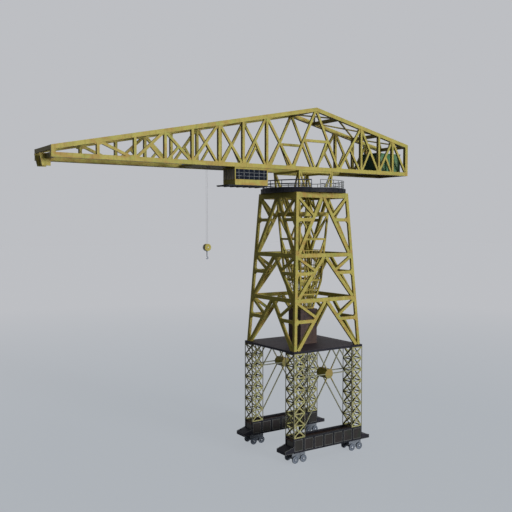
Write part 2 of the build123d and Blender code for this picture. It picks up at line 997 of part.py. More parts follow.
def trolley_frame():
    """The trolley's plated frame, with a slot for the falls."""
    plate = box_between(
        (trolley_ends[0], -trolley_half, trolley_base_z),
        (trolley_ends[1], trolley_half, trolley_base_z + trolley_plate),
    )
    shell = box_between(
        (trolley_ends[0], -trolley_half, trolley_base_z),
        (trolley_ends[1], trolley_half, trolley_top_z),
    )
    hollow = box_between(
        (trolley_ends[0] + trolley_rim, trolley_rim - trolley_half, trolley_base_z),
        (trolley_ends[1] - trolley_rim, trolley_half - trolley_rim, trolley_top_z),
    )
    slot = box_between(
        (rope_x - slot_margin, -slot_width / 2, trolley_base_z),
        (sheave_x + sheave_radius + slot_margin, slot_width / 2, trolley_top_z),
    )
    bearers = []
    for y in (-slot_width / 2 - trolley_rim, slot_width / 2):
        low = (trolley_ends[0], y, trolley_base_z)
        bearers.append(box_between(low, (trolley_ends[1], y + trolley_rim, trolley_top_z)))
    return fuse([shell - hollow, plate] + bearers) - slot


def trolley_wheels():
    """Four flat-sided wheels on stub axles, outside the trolley's frame."""
    outer = trolley_half + ledge_width
    disc = polygon(trolley_wheel_radius, trolley_wheel_sides)
    found = []
    for x in (trolley_ends[0] + trolley_wheel_inset, trolley_ends[1] - trolley_wheel_inset):
        wheel = across(x, trolley_wheel_z, disc, outer - trolley_wheel_width, outer)
        stub = across(x, trolley_wheel_z, Rectangle(axle_radius, axle_radius), trolley_half, outer)
        found += [on_side(wheel + stub, side) for side in sides]
    return found


def sheaves():
    """Two grooved rope sheaves on one shaft across the trolley's slot."""
    rim = RegularPolygon(sheave_radius, sheave_sides)
    groove = RegularPolygon(sheave_radius - sheave_groove, sheave_sides)
    pieces = [across(0, 0, RegularPolygon(sheave_shaft, axle_sides), -slot_width / 2, slot_width / 2)]
    for y in (-rope_gap / 2, rope_gap / 2):
        low = y - sheave_width / 2
        high = y + sheave_width / 2
        pieces += [
            across(0, 0, rim, low, low + sheave_flange),
            across(0, 0, groove, low + sheave_flange, high - sheave_flange),
            across(0, 0, rim, high - sheave_flange, high),
        ]
    return Pos(sheave_x, 0, sheave_z) * fuse(pieces)


def falls():
    """The two taut falls, from the trolley's sheaves to the sheave of the hook block."""
    base = block_centre_z + block_sheave_radius + running_clearance
    rope = extrude(RegularPolygon(rope_radius, rope_sides), amount=sheave_z - base)
    return [Pos(rope_x, y, base) * rope for y in (-rope_gap / 2, rope_gap / 2)]


def hook_block():
    """Two round cheeks, with the wide sheave between them that the falls run down to."""
    half = block_thickness / 2
    cheek = polygon(block_radius, block_sides)
    core = half - block_cheek
    pieces = [
        across(0, 0, cheek, core, half),
        across(0, 0, cheek, -half, -core),
        across(0, 0, polygon(block_sheave_radius, block_sides, corners_out=False), -core, core),
    ]
    return Pos(rope_x, 0, block_centre_z) * fuse(pieces)


def hook():
    """The shank and the hook, as a thick bent bar that is open to the upper left."""
    shank = extrude(polygon(shank_radius, shank_sides), amount=shank_length)
    outer = hook_radius + hook_bar
    inner = hook_radius - hook_bar
    curl = RegularPolygon(outer, hook_sides) - RegularPolygon(inner, hook_sides)
    curl -= Pos(-outer / 2, outer / 2) * Rectangle(outer, outer)
    bent = across(0, -inner, curl, -hook_bar, hook_bar)
    return Pos(rope_x, 0, hook_base_z) * (shank + bent)


def main():
    os.makedirs("parts", exist_ok=True)
    count = 0
    for side in sides:
        for end in ends:
            for shift in (-1, 1):
                count += 1
                x = end * bogie_centre_x + shift * axle_spacing / 2
                save(f"wheelset_{count}", wheelset(x, side))
    save("bogie_frames", [bogie(end, side) for end in ends for side in sides])
    for side, name in sides.items():
        save(f"sill_{name}", sill(side))
        save(f"portal_bracing_{name}", portal_bracing(side))
        for end, place in ends.items():
            save(f"leg_{name}_{place}", leg(end, side))
    save("deck", box_between((-deck_half, -deck_half, deck_base_z), (deck_half, deck_half, deck_top_z)))
    save("machine_box", machine_box())
    save("tower_posts", tower_posts())
    save("tower_beams", tower_beams())
    faces = [stage_bracing(*stage) for stage in tower_stages]
    for i, name in enumerate(("front", "right", "back", "left")):
        save(f"tower_bracing_{name}", [turned(piece, i) for piece in faces])
    save("bearing_ring", ring())
    save("ring_railing", railing())
    save("column_posts", column_posts())
    save("column_bracing", [turned(column_side(), i) for i in range(4)])
    save("column_foot", column_foot())
    save("jib_bottom_chords", [bottom_chord(side) for side in sides])
    save("jib_top_chords", [top_chord(side) for side in sides])
    save("jib_diagonals", [piece for side in sides for piece in diagonals(side)])
    save("jib_posts", [piece for side in sides for piece in posts(side)])
    save("jib_struts", [piece for side in sides for piece in struts(side)])
    save("jib_top_bracing", top_bracing())
    save("jib_cross_beams", cross_beams())
    save("nose_bracket", nose_bracket())
    save("tail_floor", tail_floor())
    save("winch_house", winch_house())
    save("counterweight", counterweight())
    roof, floor = cab_roof_and_floor()
    save("cab_walls", cab_walls())
    save("cab_roof", roof)
    save("cab_floor", floor)
    save("cab_windows", cab_windows((cab_wall - glass) / 2, glass))
    save("trolley_runway", trolley_runway())
    save("trolley_frame", trolley_frame())
    save("trolley_wheels", trolley_wheels())
    save("trolley_sheaves", sheaves())
    save("hook_falls", falls())
    save("hook_block", hook_block())
    save("hook", hook())


main()
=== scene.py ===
"""Looks of a travelling tower crane, a 1:10 model: finishes, fittings, camera and stage."""

import json
import math

import bmesh
import bpy
from mathutils import Matrix, Vector


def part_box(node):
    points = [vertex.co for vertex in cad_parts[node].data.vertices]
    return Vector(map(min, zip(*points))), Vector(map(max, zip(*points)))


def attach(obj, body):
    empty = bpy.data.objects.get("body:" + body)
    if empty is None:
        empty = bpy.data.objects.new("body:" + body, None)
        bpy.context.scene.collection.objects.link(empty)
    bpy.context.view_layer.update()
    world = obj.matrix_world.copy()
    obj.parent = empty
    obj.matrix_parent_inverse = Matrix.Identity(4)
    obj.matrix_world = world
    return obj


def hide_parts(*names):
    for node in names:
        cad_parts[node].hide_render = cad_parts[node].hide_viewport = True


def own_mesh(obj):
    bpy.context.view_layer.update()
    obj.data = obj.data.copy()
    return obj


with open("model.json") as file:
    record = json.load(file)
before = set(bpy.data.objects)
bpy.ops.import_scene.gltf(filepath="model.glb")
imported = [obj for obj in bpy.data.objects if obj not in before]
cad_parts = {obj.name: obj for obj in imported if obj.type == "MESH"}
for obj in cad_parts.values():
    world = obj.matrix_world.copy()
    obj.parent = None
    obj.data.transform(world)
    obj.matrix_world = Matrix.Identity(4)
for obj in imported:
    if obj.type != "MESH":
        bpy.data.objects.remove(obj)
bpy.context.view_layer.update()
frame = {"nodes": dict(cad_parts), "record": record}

bl_info = {
    "name": "Travelling tower crane dresser",
    "version": (1, 0, 0),
    "blender": (4, 5, 0),
    "location": "3D View > Sidebar > Crane",
    "description": "Dresses a model tower crane with finishes, fittings and a plain stage",
    "category": "Object",
}

MM = 0.001
SIDES = (-1, 1)
AHEAD = (1, 0, 0)
ACROSS = (0, 1, 0)
UP = (0, 0, 1)

# The crane's own stations, in metres, as its frame has them
JIB_BAYS = (0.340, 0.350, 0.310, 0.300, 0.320, 0.310, 0.330, 0.380, 0.452)
TAIL_BAYS = (0.340, 0.350, 0.290, 0.230, 0.240)
CHORD = 0.045
SILL_PANELS = 7
LEG_PANELS = 7

# Faces that meet at more than this are drawn with a sharp edge
SHARP_ANGLE = math.radians(35)

# A rivet's head from its foot to its top, as shares of its radius
RIVET_HEAD = ((0, 0), (1, 0), (0.6, 0.55), (0, 0.62))

# Depth of the relief in a finish, and width of the paint's worn edges
RELIEF = 2 * MM
WORN_EDGE = 2 * MM

# Plain pieces whose finish isn't the one named after their slot
NODES_OF_FINISH = {
    "rod_paint": ("portal_bracing_near", "portal_bracing_far"),
    "bogie_paint": ("bogie_frames",),
    "deck": ("deck",),
    "nose_paint_shaded": ("nose_bracket",),
    "floor_paint": ("trolley_frame", "tail_floor"),
    "truss_paint_shaded": (
        "jib_diagonals", "jib_posts", "jib_struts", "jib_top_bracing", "jib_cross_beams", "jib_top_chords"),
    "rope": ("hook_falls",),
}
FINISH_OF_NODE = {node: finish for finish, nodes in NODES_OF_FINISH.items() for node in nodes}

# The materials that have been made, by the names of their finishes
MATERIALS = {}


# Shader trees


def shade(colour):
    """A colour as a socket takes it."""
    return colour if isinstance(colour, Signal) else (*colour, 1.0)


class Signal:
    """A value that varies over a surface. Arithmetic on it adds Math nodes."""

    def __init__(self, tree, socket):
        self.tree = tree
        self.socket = socket

    def maths(self, operation, *others):
        inputs = dict(enumerate((self, *others)))
        return self.tree.node("ShaderNodeMath", {"operation": operation}, inputs)

    def __add__(self, other):
        return self.maths("ADD", other)

    def __mul__(self, other):
        return self.maths("MULTIPLY", other)

    __radd__ = __add__
    __rmul__ = __mul__


class Tree:
    """The node tree of a material or of the world, emptied to be built anew."""

    def __init__(self, owner):
        owner.use_nodes = True
        self.tree = owner.node_tree
        self.tree.nodes.clear()

    def node(self, kind, settings=None, inputs=None, output=0):
        """Adds one node: its settings first, then the values and links of its sockets."""
        made = self.tree.nodes.new(kind)
        for name, value in (settings or {}).items():
            if name == "stops":
                for element, (position, level) in zip(made.color_ramp.elements, value):
                    element.position = position
                    element.color = (level, level, level, 1)
            else:
                setattr(made, name, value)
        for key, value in (inputs or {}).items():
            if isinstance(value, Signal):
                self.tree.links.new(value.socket, made.inputs[key])
            else:
                made.inputs[key].default_value = value
        return Signal(self, made.outputs[output]) if made.outputs else None

    def shown(self):
        """1 on rays that show a thing, straight, mirrored or through glass, and 0 on rays of light."""
        kinds = ("Camera", "Glossy", "Transmission")
        straight, mirrored, through = (
            self.node("ShaderNodeLightPath", output=f"Is {kind} Ray") for kind in kinds)
        return straight.maths("MAXIMUM", mirrored).maths("MAXIMUM", through)


class Finish(Tree):
    """The node tree of one material, with the patterns that the crane's paint needs."""

    def __init__(self, name):
        self.material = MATERIALS[name] = bpy.data.materials.new(f"{name}_finish")
        super().__init__(self.material)
        self.place = self.node("ShaderNodeTexCoord", output="Object")

    def noise(self, scale, detail=3.0, stretch=(1, 1, 1)):
        """Soft noise from 0 to 1, finer with a larger scale, drawn out along the stretched axes."""
        place = self.node("ShaderNodeMapping", None, {"Vector": self.place, "Scale": stretch})
        return self.node("ShaderNodeTexNoise", None, {"Vector": place, "Scale": scale, "Detail": detail})

    def ramp(self, signal, low, high):
        """A signal spread so that low becomes 0 and high becomes 1."""
        stops = ((low, 0), (high, 1)) if low < high else ((high, 1), (low, 0))
        return self.node("ShaderNodeValToRGB", {"stops": stops}, {"Fac": signal})

    def blend(self, share, first, second, way="MIX"):
        """A colour between two colours, or their product."""
        settings = {"data_type": "RGBA", "blend_type": way}
        inputs = {0: share, 6: shade(first), 7: shade(second)}
        return self.node("ShaderNodeMix", settings, inputs, output=2)

    def edges(self, width):
        """1 along worn edges and 0 on flats."""
        flat = self.node("ShaderNodeNewGeometry", output="Normal")
        rounded = self.node("ShaderNodeBevel", {"samples": 4}, {"Radius": width})
        same = self.node(
            "ShaderNodeVectorMath", {"operation": "DOT_PRODUCT"}, {0: flat, 1: rounded}, output="Value")
        return self.ramp(same, low=0.99, high=0.90)

    def facing(self, axis, sign):
        """1 on faces that look one way along an axis and 0 on the others."""
        normal = self.node("ShaderNodeNewGeometry", output="Normal")
        along = self.node("ShaderNodeSeparateXYZ", None, {"Vector": normal}, output=axis)
        return self.ramp(along * sign, low=0.35, high=0.85)

    def beyond_drum(self):
        """1 on the rods of the portal's bracing and 0 on the drum between them."""
        sideways = self.node("ShaderNodeSeparateXYZ", None, {"Vector": self.place}, output="X")
        return self.ramp(sideways.maths("ABSOLUTE"), low=0.052, high=0.058)

    def surface(self, colour, roughness, metallic, height, bump, shine=0.5):
        """Ends the tree in a shader. Signals are linked and plain values are set on its sockets."""
        relief = self.node(
            "ShaderNodeBump", None, {"Strength": bump, "Distance": RELIEF, "Height": height})
        inputs = {"Base Color": colour, "Roughness": roughness, "Metallic": metallic,
                  "Specular IOR Level": shine, "Normal": relief}
        shader = self.node("ShaderNodeBsdfPrincipled", None, inputs)
        self.node("ShaderNodeOutputMaterial", None, {"Surface": shader})


# Finishes


def weathered(name, colour, patches, grime_and_shade, bare, roughness=0.5, mottle=9.0, underside_shade=0.7, rods=None, painted_side_light=None,
              dust=None):
    """Old gloss paint: patchy, streaked with rain, worn to metal on its edges, with painted shade on its
    undersides, and a painted side colour on faces that look to the nose: painted shade on most finishes,
    painted light on the legs' corner angles.
    """
    finish = Finish(name)
    slow = finish.ramp(finish.noise(mottle / 4, detail=2.0), low=0.30, high=0.62)
    streaks = finish.ramp(finish.noise(14.0, stretch=(3, 3, 0.3)), low=0.52, high=0.78)
    fine = finish.noise(170.0, detail=2.0)
    worn = finish.edges(WORN_EDGE) * finish.ramp(finish.noise(38.0, detail=4.0), low=0.49, high=0.61)
    base = colour
    for index, patch in enumerate(patches):
        spread = finish.noise(mottle * (1 + 0.45 * index), detail=4.0, stretch=(1, 1, 0.8 + index))
        broad = finish.ramp(spread, low=0.40, high=0.66)
        base = finish.blend(broad * slow, base, patch)
    if rods:
        base = finish.blend(finish.beyond_drum(), base, rods)
    # Painted light on faces that look to -X, towards the nose: a darker painted shade on most finishes, a
    # lighter colour on the legs' corner angles
    if painted_side_light:
        base = finish.blend(finish.facing("X", -1), base, painted_side_light)
    if dust:
        base = finish.blend(finish.facing("Z", 1) * (streaks * 0.25 + 0.75), base, dust)
    base = finish.blend(streaks * 0.28, base, grime_and_shade)
    # Painted shade: faces that look down are darkened towards the grime colour
    base = finish.blend(finish.facing("Z", -1) * underside_shade, base, grime_and_shade)
    base = finish.blend(worn * 0.8, base, bare)
    gloss = fine * 0.22 + (roughness - 0.1) + streaks * 0.12
    finish.surface(base, gloss, worn * 0.6, fine + broad * 0.6, bump=0.25, shine=0.16)


def steel(name, colour, roughness):
    """Bare or greased metal, brushed by use."""
    finish = Finish(name)
    lines = finish.noise(60.0, detail=4.0, stretch=(1, 8, 1))
    dull = finish.ramp(finish.noise(22.0), low=0.42, high=0.68)
    base = finish.blend(dull, colour, [c * 0.45 for c in colour])
    finish.surface(base, dull * 0.25 + lines * 0.15 + roughness, 0.85, lines, bump=0.15)


def window_glass(colour, painted_reflection, dust_colour):
    """Dark window glass with a film of dust, and a pale painted reflection on the panes at the cab's end.
    """
    finish = Finish("window_glass")
    dust = finish.ramp(finish.noise(26.0, detail=4.0), low=0.45, high=0.8)
    # Painted reflection: the panes that look to -X, at the cab's end, take a pale colour
    pane = finish.blend(finish.facing("X", -1), colour, painted_reflection)
    tint = finish.blend(dust * 0.2, pane, dust_colour)
    finish.surface(tint, dust * 0.2 + 0.3, 0.0, finish.noise(7.0, detail=1.0), bump=0.04, shine=0.03)


def sheet_metal(colour, patch, grime_and_shade, painted_side_light):
    """Painted sheet of the winch house, with sun-bleached and rain-streaked panels, and painted shade on
    its nose side and its undersides.
    """
    finish = Finish("green_paint")
    broad = finish.ramp(finish.noise(6.0), low=0.35, high=0.7)
    streaks = finish.ramp(finish.noise(16.0, stretch=(4, 4, 0.25)), low=0.45, high=0.75)
    dents = finish.noise(11.0, detail=1.0)
    fine = finish.noise(150.0, detail=2.0)
    base = finish.blend(broad, colour, patch)
    # Painted shade on the faces that look to -X, the house's nose side
    base = finish.blend(finish.facing("X", -1), base, painted_side_light)
    base = finish.blend(streaks * 0.4, base, grime_and_shade)
    # Painted shade: faces that look down are darkened towards the grime colour
    base = finish.blend(finish.facing("Z", -1) * 0.6, base, grime_and_shade)
    finish.surface(base, fine * 0.2 + 0.42, 0.0, dents * 0.8 + fine * 0.3, bump=0.3, shine=0.16)


# Settings


def colour(label, text, value):
    """A colour that the user can change, as linear light."""
    return bpy.props.FloatVectorProperty(
        name=label, description=text, default=value, subtype="COLOR", size=3, min=0.0, max=1.0)


def number(label, text, value, **limits):
    """A number that the user can change."""
    return bpy.props.FloatProperty(name=label, description=text, default=value, **limits)


def length(label, text, value):
    """A length that the user can change, in metres."""
    return number(label, text, value, unit="LENGTH", min=0.0, precision=5)


class CranePaints(bpy.types.PropertyGroup):
    """Colours of the crane's finishes, as linear light; some of them are painted shade, painted light and a
    painted reflection.
    """

    yellow: colour("Yellow", "Paint of the lattice work", (0.52, 0.455, 0.112))
    # Painted shade on the yellow paint's faces that look to the nose
    painted_side_light: colour("Lee side", "Yellow paint on the sides that look to the nose", (0.40, 0.35, 0.06))
    # Painted shade on the trusses' faces that look to the nose
    truss_painted_shade: colour("Trusses' lee side", "Yellow paint of the trusses there", (0.20, 0.17, 0.06))
    # Painted shade on the faces of the legs' flat bars and of the nose bracket that look to the nose
    leg_painted_shade: colour("Legs' lee side", "Paint of the legs' flat bars there", (0.10, 0.085, 0.03))
    drum: colour("Drums", "Dull olive of the drums between the portal's rods", (0.30, 0.265, 0.10))
    leg: colour("Legs", "Bleached paint of the legs", (0.47, 0.46, 0.20))
    post: colour("Leg posts", "Worn paint of the legs' corner angles", (0.30, 0.29, 0.22))
    # Painted light on the legs' corner angles, on their faces that look to the nose
    post_painted_light: colour("Leg posts' lee side", "Bleached paint of the corner angles", (0.50, 0.53, 0.40))
    dust: colour("Dust", "Dust on the deck", (0.085, 0.066, 0.080))
    olive: colour("Olive", "Green patches of the yellow paint", (0.36, 0.38, 0.085))
    ochre: colour("Ochre", "Rusty patches of the yellow paint", (0.46, 0.29, 0.075))
    # Grime for the yellow paint's rain streaks, and also its painted shade on undersides
    soot_and_shade: colour("Soot", "Grime on the yellow paint", (0.06, 0.052, 0.02))
    rod_grey: colour("Rod grey", "Paint of the rods between the legs", (0.30, 0.31, 0.22))
    black: colour("Black", "Paint of the deck, sills and ring", (0.015, 0.015, 0.024))
    black_patch: colour("Black patch", "Faded patches of the black paint", (0.026, 0.023, 0.031))
    brown: colour("Brown", "Paint of the machine box", (0.088, 0.055, 0.046))
    blue_grey: colour("Blue grey", "Paint of the wheels", (0.21, 0.245, 0.30))
    bogie: colour("Bogies", "Paint of the bogie frames", (0.24, 0.27, 0.31))
    navy: colour("Navy", "Paint of the guard rail", (0.035, 0.045, 0.085))
    light_grey: colour("Light grey", "Window bars and the light guard rail", (0.30, 0.32, 0.33))
    outline: colour("Outlines", "Strips round the sills' panels", (0.16, 0.165, 0.16))
    panel: colour("Panels", "Paint of the sills' panels", (0.038, 0.031, 0.030))
    floor: colour("Floors", "Paint of the tail's floor and the trolley", (0.30, 0.25, 0.08))
    green: colour("Green", "Paint of the winch house", (0.075, 0.26, 0.12))
    green_patch: colour("Green patch", "Bleached patches of the winch house", (0.16, 0.25, 0.15))
    # Painted shade on the winch house's nose side
    green_painted_shade: colour("Green lee side", "Paint of the house's nose side", (0.008, 0.045, 0.028))
    pane: colour("Glass", "Window glass of the cab", (0.006, 0.010, 0.022))
    # A painted reflection on the panes at the cab's end, not the colour of the glass
    end_pane_painted_reflection: colour("End glass", "Window glass at the cab's end", (0.80, 0.72, 0.55))
    rope: colour("Rope", "Greased wire of the hoist", (0.22, 0.22, 0.23))
    worn: colour("Worn steel", "Bare steel of hubs and pins", (0.50, 0.52, 0.55))


class CraneFittings(bpy.types.PropertyGroup):
    """Sizes of the fittings, in metres."""

    rivet_radius: length("Rivet radius", "Radius of a rivet's head", 2 * MM)
    rivet_pitch: length("Rivet pitch", "Distance between rivets in a row", 17 * MM)
    gusset: length("Gusset thickness", "Thickness of the joint plates", 2.5 * MM)
    rail_tube: length("Rail tube", "Radius of the guard rail's tubes", 4 * MM)
    rail_gap: length("Rail gap", "Width of the way through the guard rail", 105 * MM)
    window_bar: length("Window bar", "Width of the bars between the panes", 3.4 * MM)
    trim: length("Trim strip", "Width of the strips on the sills", 5 * MM)
    rope_radius: length("Rope radius", "Radius of one fall of the hoist rope", 0.8 * MM)
    lacing: length("Lacing bar", "Width of the fine bars of the column", 6 * MM)


class CraneStage(bpy.types.PropertyGroup):
    """The camera, the light and the floor."""

    camera_place: bpy.props.FloatVectorProperty(
        name="Camera place", description="Where the camera stands", default=(-5.150, -6.745, 2.631),
        subtype="TRANSLATION", size=3)
    camera_heading: number("Heading", "Turn of the camera from +Y", math.radians(-33.593), subtype="ANGLE")
    camera_tilt: number("Tilt", "Rise of the view from level", math.radians(-2.359), subtype="ANGLE")
    camera_lens: number("Lens", "Focal length in millimetres", 50.0, min=10.0)
    sun_strength: number("Key light", "Strength of the key light", 2.4, min=0.0)
    fill_strength: number("Fill light", "Strength of the light from all round", 0.19, min=0.0)
    floor_colour: colour("Floor", "Colour of the floor as seen", (0.425, 0.452, 0.485))
    sky_colour: colour("Backdrop", "Colour behind the crane", (0.51, 0.52, 0.545))


def fittings():
    return bpy.context.scene.crane_fittings


# Meshes


def mm(*pairs):
    """Pairs of millimetres, in metres."""
    return [(a * MM, b * MM) for a, b in pairs]


def polar(turn, radius):
    """The two parts of a point on a circle."""
    return math.cos(turn) * radius, math.sin(turn) * radius


def arc(radius, count, z, start, sweep):
    """Points along a level arc about the slewing axis."""
    return [Vector((*polar(start + sweep * i / (count - 1), radius), z)) for i in range(count)]


def spaced(low, high, count):
    """Places at even steps from one end to the other."""
    return [low + i * (high - low) / count for i in range(count + 1)]


def quarter_turn(i):
    """A matrix that turns about the slewing axis by quarters."""
    return Matrix.Rotation(i * math.pi / 2, 4, "Z")


class Shape:
    """A mesh being made of plain closed solids, all set in place by one matrix."""

    def __init__(self):
        self.points = []
        self.faces = []
        self.marks = []
        self.place = Matrix.Identity(4)
        self.mark = 0

    def add(self, points, faces):
        start = len(self.points)
        self.points += [self.place @ Vector(p) for p in points]
        self.faces += [[start + i for i in face] for face in faces]
        self.marks += [self.mark] * len(faces)

    def prism(self, outline, origin, u, v, depth):
        """A flat outline in the plane of u and v, thickened along their normal."""
        u = Vector(u)
        v = Vector(v)
        rise = u.cross(v).normalized() * depth
        count = len(outline)
        low = [Vector(origin) + u * x + v * y for x, y in outline]
        faces = [list(range(count))[::-1], list(range(count, 2 * count))]
        faces += [[i, (i + 1) % count, count + (i + 1) % count, count + i] for i in range(count)]
        self.add(low + [p + rise for p in low], faces)

    def slab(self, x0, x1, y0, y1, z0, z1):
        """A box whose sides may be given in either order."""
        pairs = [sorted(pair) for pair in ((x0, x1), (y0, y1), (z0, z1))]
        low, high = (Vector(ends) for ends in zip(*pairs))
        size = high - low
        outline = ((0, 0), (size.x, 0), (size.x, size.y), (0, size.y))
        self.prism(outline, low, AHEAD, ACROSS, size.z)

    def bar(self, start, end, normal, width, depth):
        """A flat bar between two points, thickened along a normal."""
        start = Vector(start)
        run = Vector(end) - start
        along = run.normalized()
        half = width / 2
        outline = ((0, -half), (run.length, -half), (run.length, half), (0, half))
        self.prism(outline, start, along, Vector(normal).cross(along).normalized(), depth)

    def lathe(self, profile, centre, axis, sides, closed=False):
        """A profile of (radius, along) points, turned about an axis."""
        centre = Vector(centre)
        axis = Vector(axis).normalized()
        u = axis.orthogonal().normalized()
        v = axis.cross(u)
        points = []
        rings = []
        for radius, along in profile:
            here = centre + axis * along
            start = len(points)
            if radius == 0:
                points.append(here)
                rings.append([start] * sides)
                continue
            for i in range(sides):
                turn = 2 * math.pi * i / sides
                points.append(here + (u * math.cos(turn) + v * math.sin(turn)) * radius)
            rings.append(list(range(start, start + sides)))
        faces = []
        for a, b in zip(rings, rings[1:] + rings[:closed]):
            for i in range(sides):
                j = (i + 1) % sides
                faces.append(list(dict.fromkeys((a[i], a[j], b[j], b[i]))))
        self.add(points, faces)

    def rod(self, radius, reach, centre, sides):
        """A round bar that reaches as far to both sides of its middle, across the crane."""
        ends = ((0, -reach), (radius, -reach), (radius, reach), (0, reach))
        self.lathe(ends, centre, ACROSS, sides)

    def wheel(self, profile, centre, face, side, sides, closed=False):
        """A profile of (radius, height over a face) in millimetres, turned about an axle."""
        points = [(radius * MM, face + side * over * MM) for radius, over in profile]
        self.lathe(points, centre, ACROSS, sides, closed)

    def tube(self, path, radius, sides=8):
        """A round bar along a path. The radius is one number, or one for each point."""
        path = [Vector(p) for p in path]
        count = len(path)
        radii = radius if isinstance(radius, list) else [radius] * count
        side = None
        points = []
        for i, here in enumerate(path):
            along = (path[min(i + 1, count - 1)] - path[max(i - 1, 0)]).normalized()
            side = along.orthogonal() if side is None else side - along * side.dot(along)
            side.normalize()
            other = along.cross(side)
            for k in range(sides):
                turn = 2 * math.pi * k / sides
                points.append(here + (side * math.cos(turn) + other * math.sin(turn)) * radii[i])
        last = (count - 1) * sides
        faces = [[a + k, a + (k + 1) % sides, a + sides + (k + 1) % sides, a + sides + k]
                 for a in range(0, last, sides) for k in range(sides)]
        faces += [list(range(sides))[::-1], list(range(last, last + sides))]
        self.add(points, faces)

    def rivet(self, centre, normal, size=1.0):
        """A low six-sided head, at a share of the set size."""
        radius = fittings().rivet_radius * size
        profile = [(across * radius, over * radius) for across, over in RIVET_HEAD]
        self.lathe(profile, centre, normal, sides=6)

    def rivets(self, start, end, normal, spread=1.0, size=1.0):
        """A row of heads between two points, about the set pitch apart or a multiple of it."""
        start = Vector(start)
        end = Vector(end)
        count = max(1, round((end - start).length / (fittings().rivet_pitch * spread)))
        for i in range(count + 1):
            self.rivet(start.lerp(end, i / count), normal, size)

    def done(self, name, body, slot, finishes=None, replaces=None):
        """Makes the piece, gives it its finishes, and sets it on its body."""
        mesh = bpy.data.meshes.new(name)
        mesh.from_pydata(self.points, [], self.faces)
        mesh.polygons.foreach_set("material_index", self.marks)
        for finish in finishes or (slot,):
            mesh.materials.append(MATERIALS[finish])
        work = bmesh.new()
        work.from_mesh(mesh)
        bmesh.ops.recalc_face_normals(work, faces=work.faces)
        work.to_mesh(mesh)
        work.free()
        mesh.shade_smooth()
        mesh.set_sharp_from_angle(angle=SHARP_ANGLE)
        piece = bpy.data.objects.new(name, mesh)
        bpy.context.scene.collection.objects.link(piece)
        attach(piece, body)
        if replaces:
            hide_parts(replaces)
        return piece


def corners(node):
    """The corners of a plain piece's mesh."""
    return [corner.co for corner in frame["nodes"][node].data.vertices]


def levels(node):
    """The heights at which a plain piece has corners, from the lowest."""
    return sorted({round(corner.z, 4) for corner in corners(node)})


def reach_at(node, height):
    """How far a plain piece reaches along X at one of its heights."""
    return max(corner.x for corner in corners(node) if abs(corner.z - height) < MM)


def measure(node):
    """A plain piece's middle and half its size."""
    low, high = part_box(node)
    return (low + high) / 2, (high - low) / 2


def body_of(node):
    """The body that a plain piece rides on."""
    for body, members in frame["record"]["behaviour"]["bodies"].items():
        if node in members:
            return body
    raise ValueError(f"no body carries {node}")


def jib_stations():
    """Where the nodes of the trusses lie along X, from nose to tail."""
    nose = [-sum(JIB_BAYS[:i]) for i in range(len(JIB_BAYS) + 1)]
    tail = [sum(TAIL_BAYS[:i]) for i in range(1, len(TAIL_BAYS) + 1)]
    return nose[::-1], tail


def chord_line(x):
    """Height of the top chord's upper edge at a place along the jib."""
    low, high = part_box("jib_top_chords")
    end = low.x if x < 0 else high.x
    tip = max(corner.z for corner in corners("jib_top_chords") if abs(corner.x - end) < MM)
    return high.z + (tip - high.z) * x / end


def fall_places():
    """Where the two falls of the hoist hang across the jib."""
    low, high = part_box("hook_falls")
    radius = (high.x - low.x) / 2
    return low.y + radius, high.y - radius


# Pieces


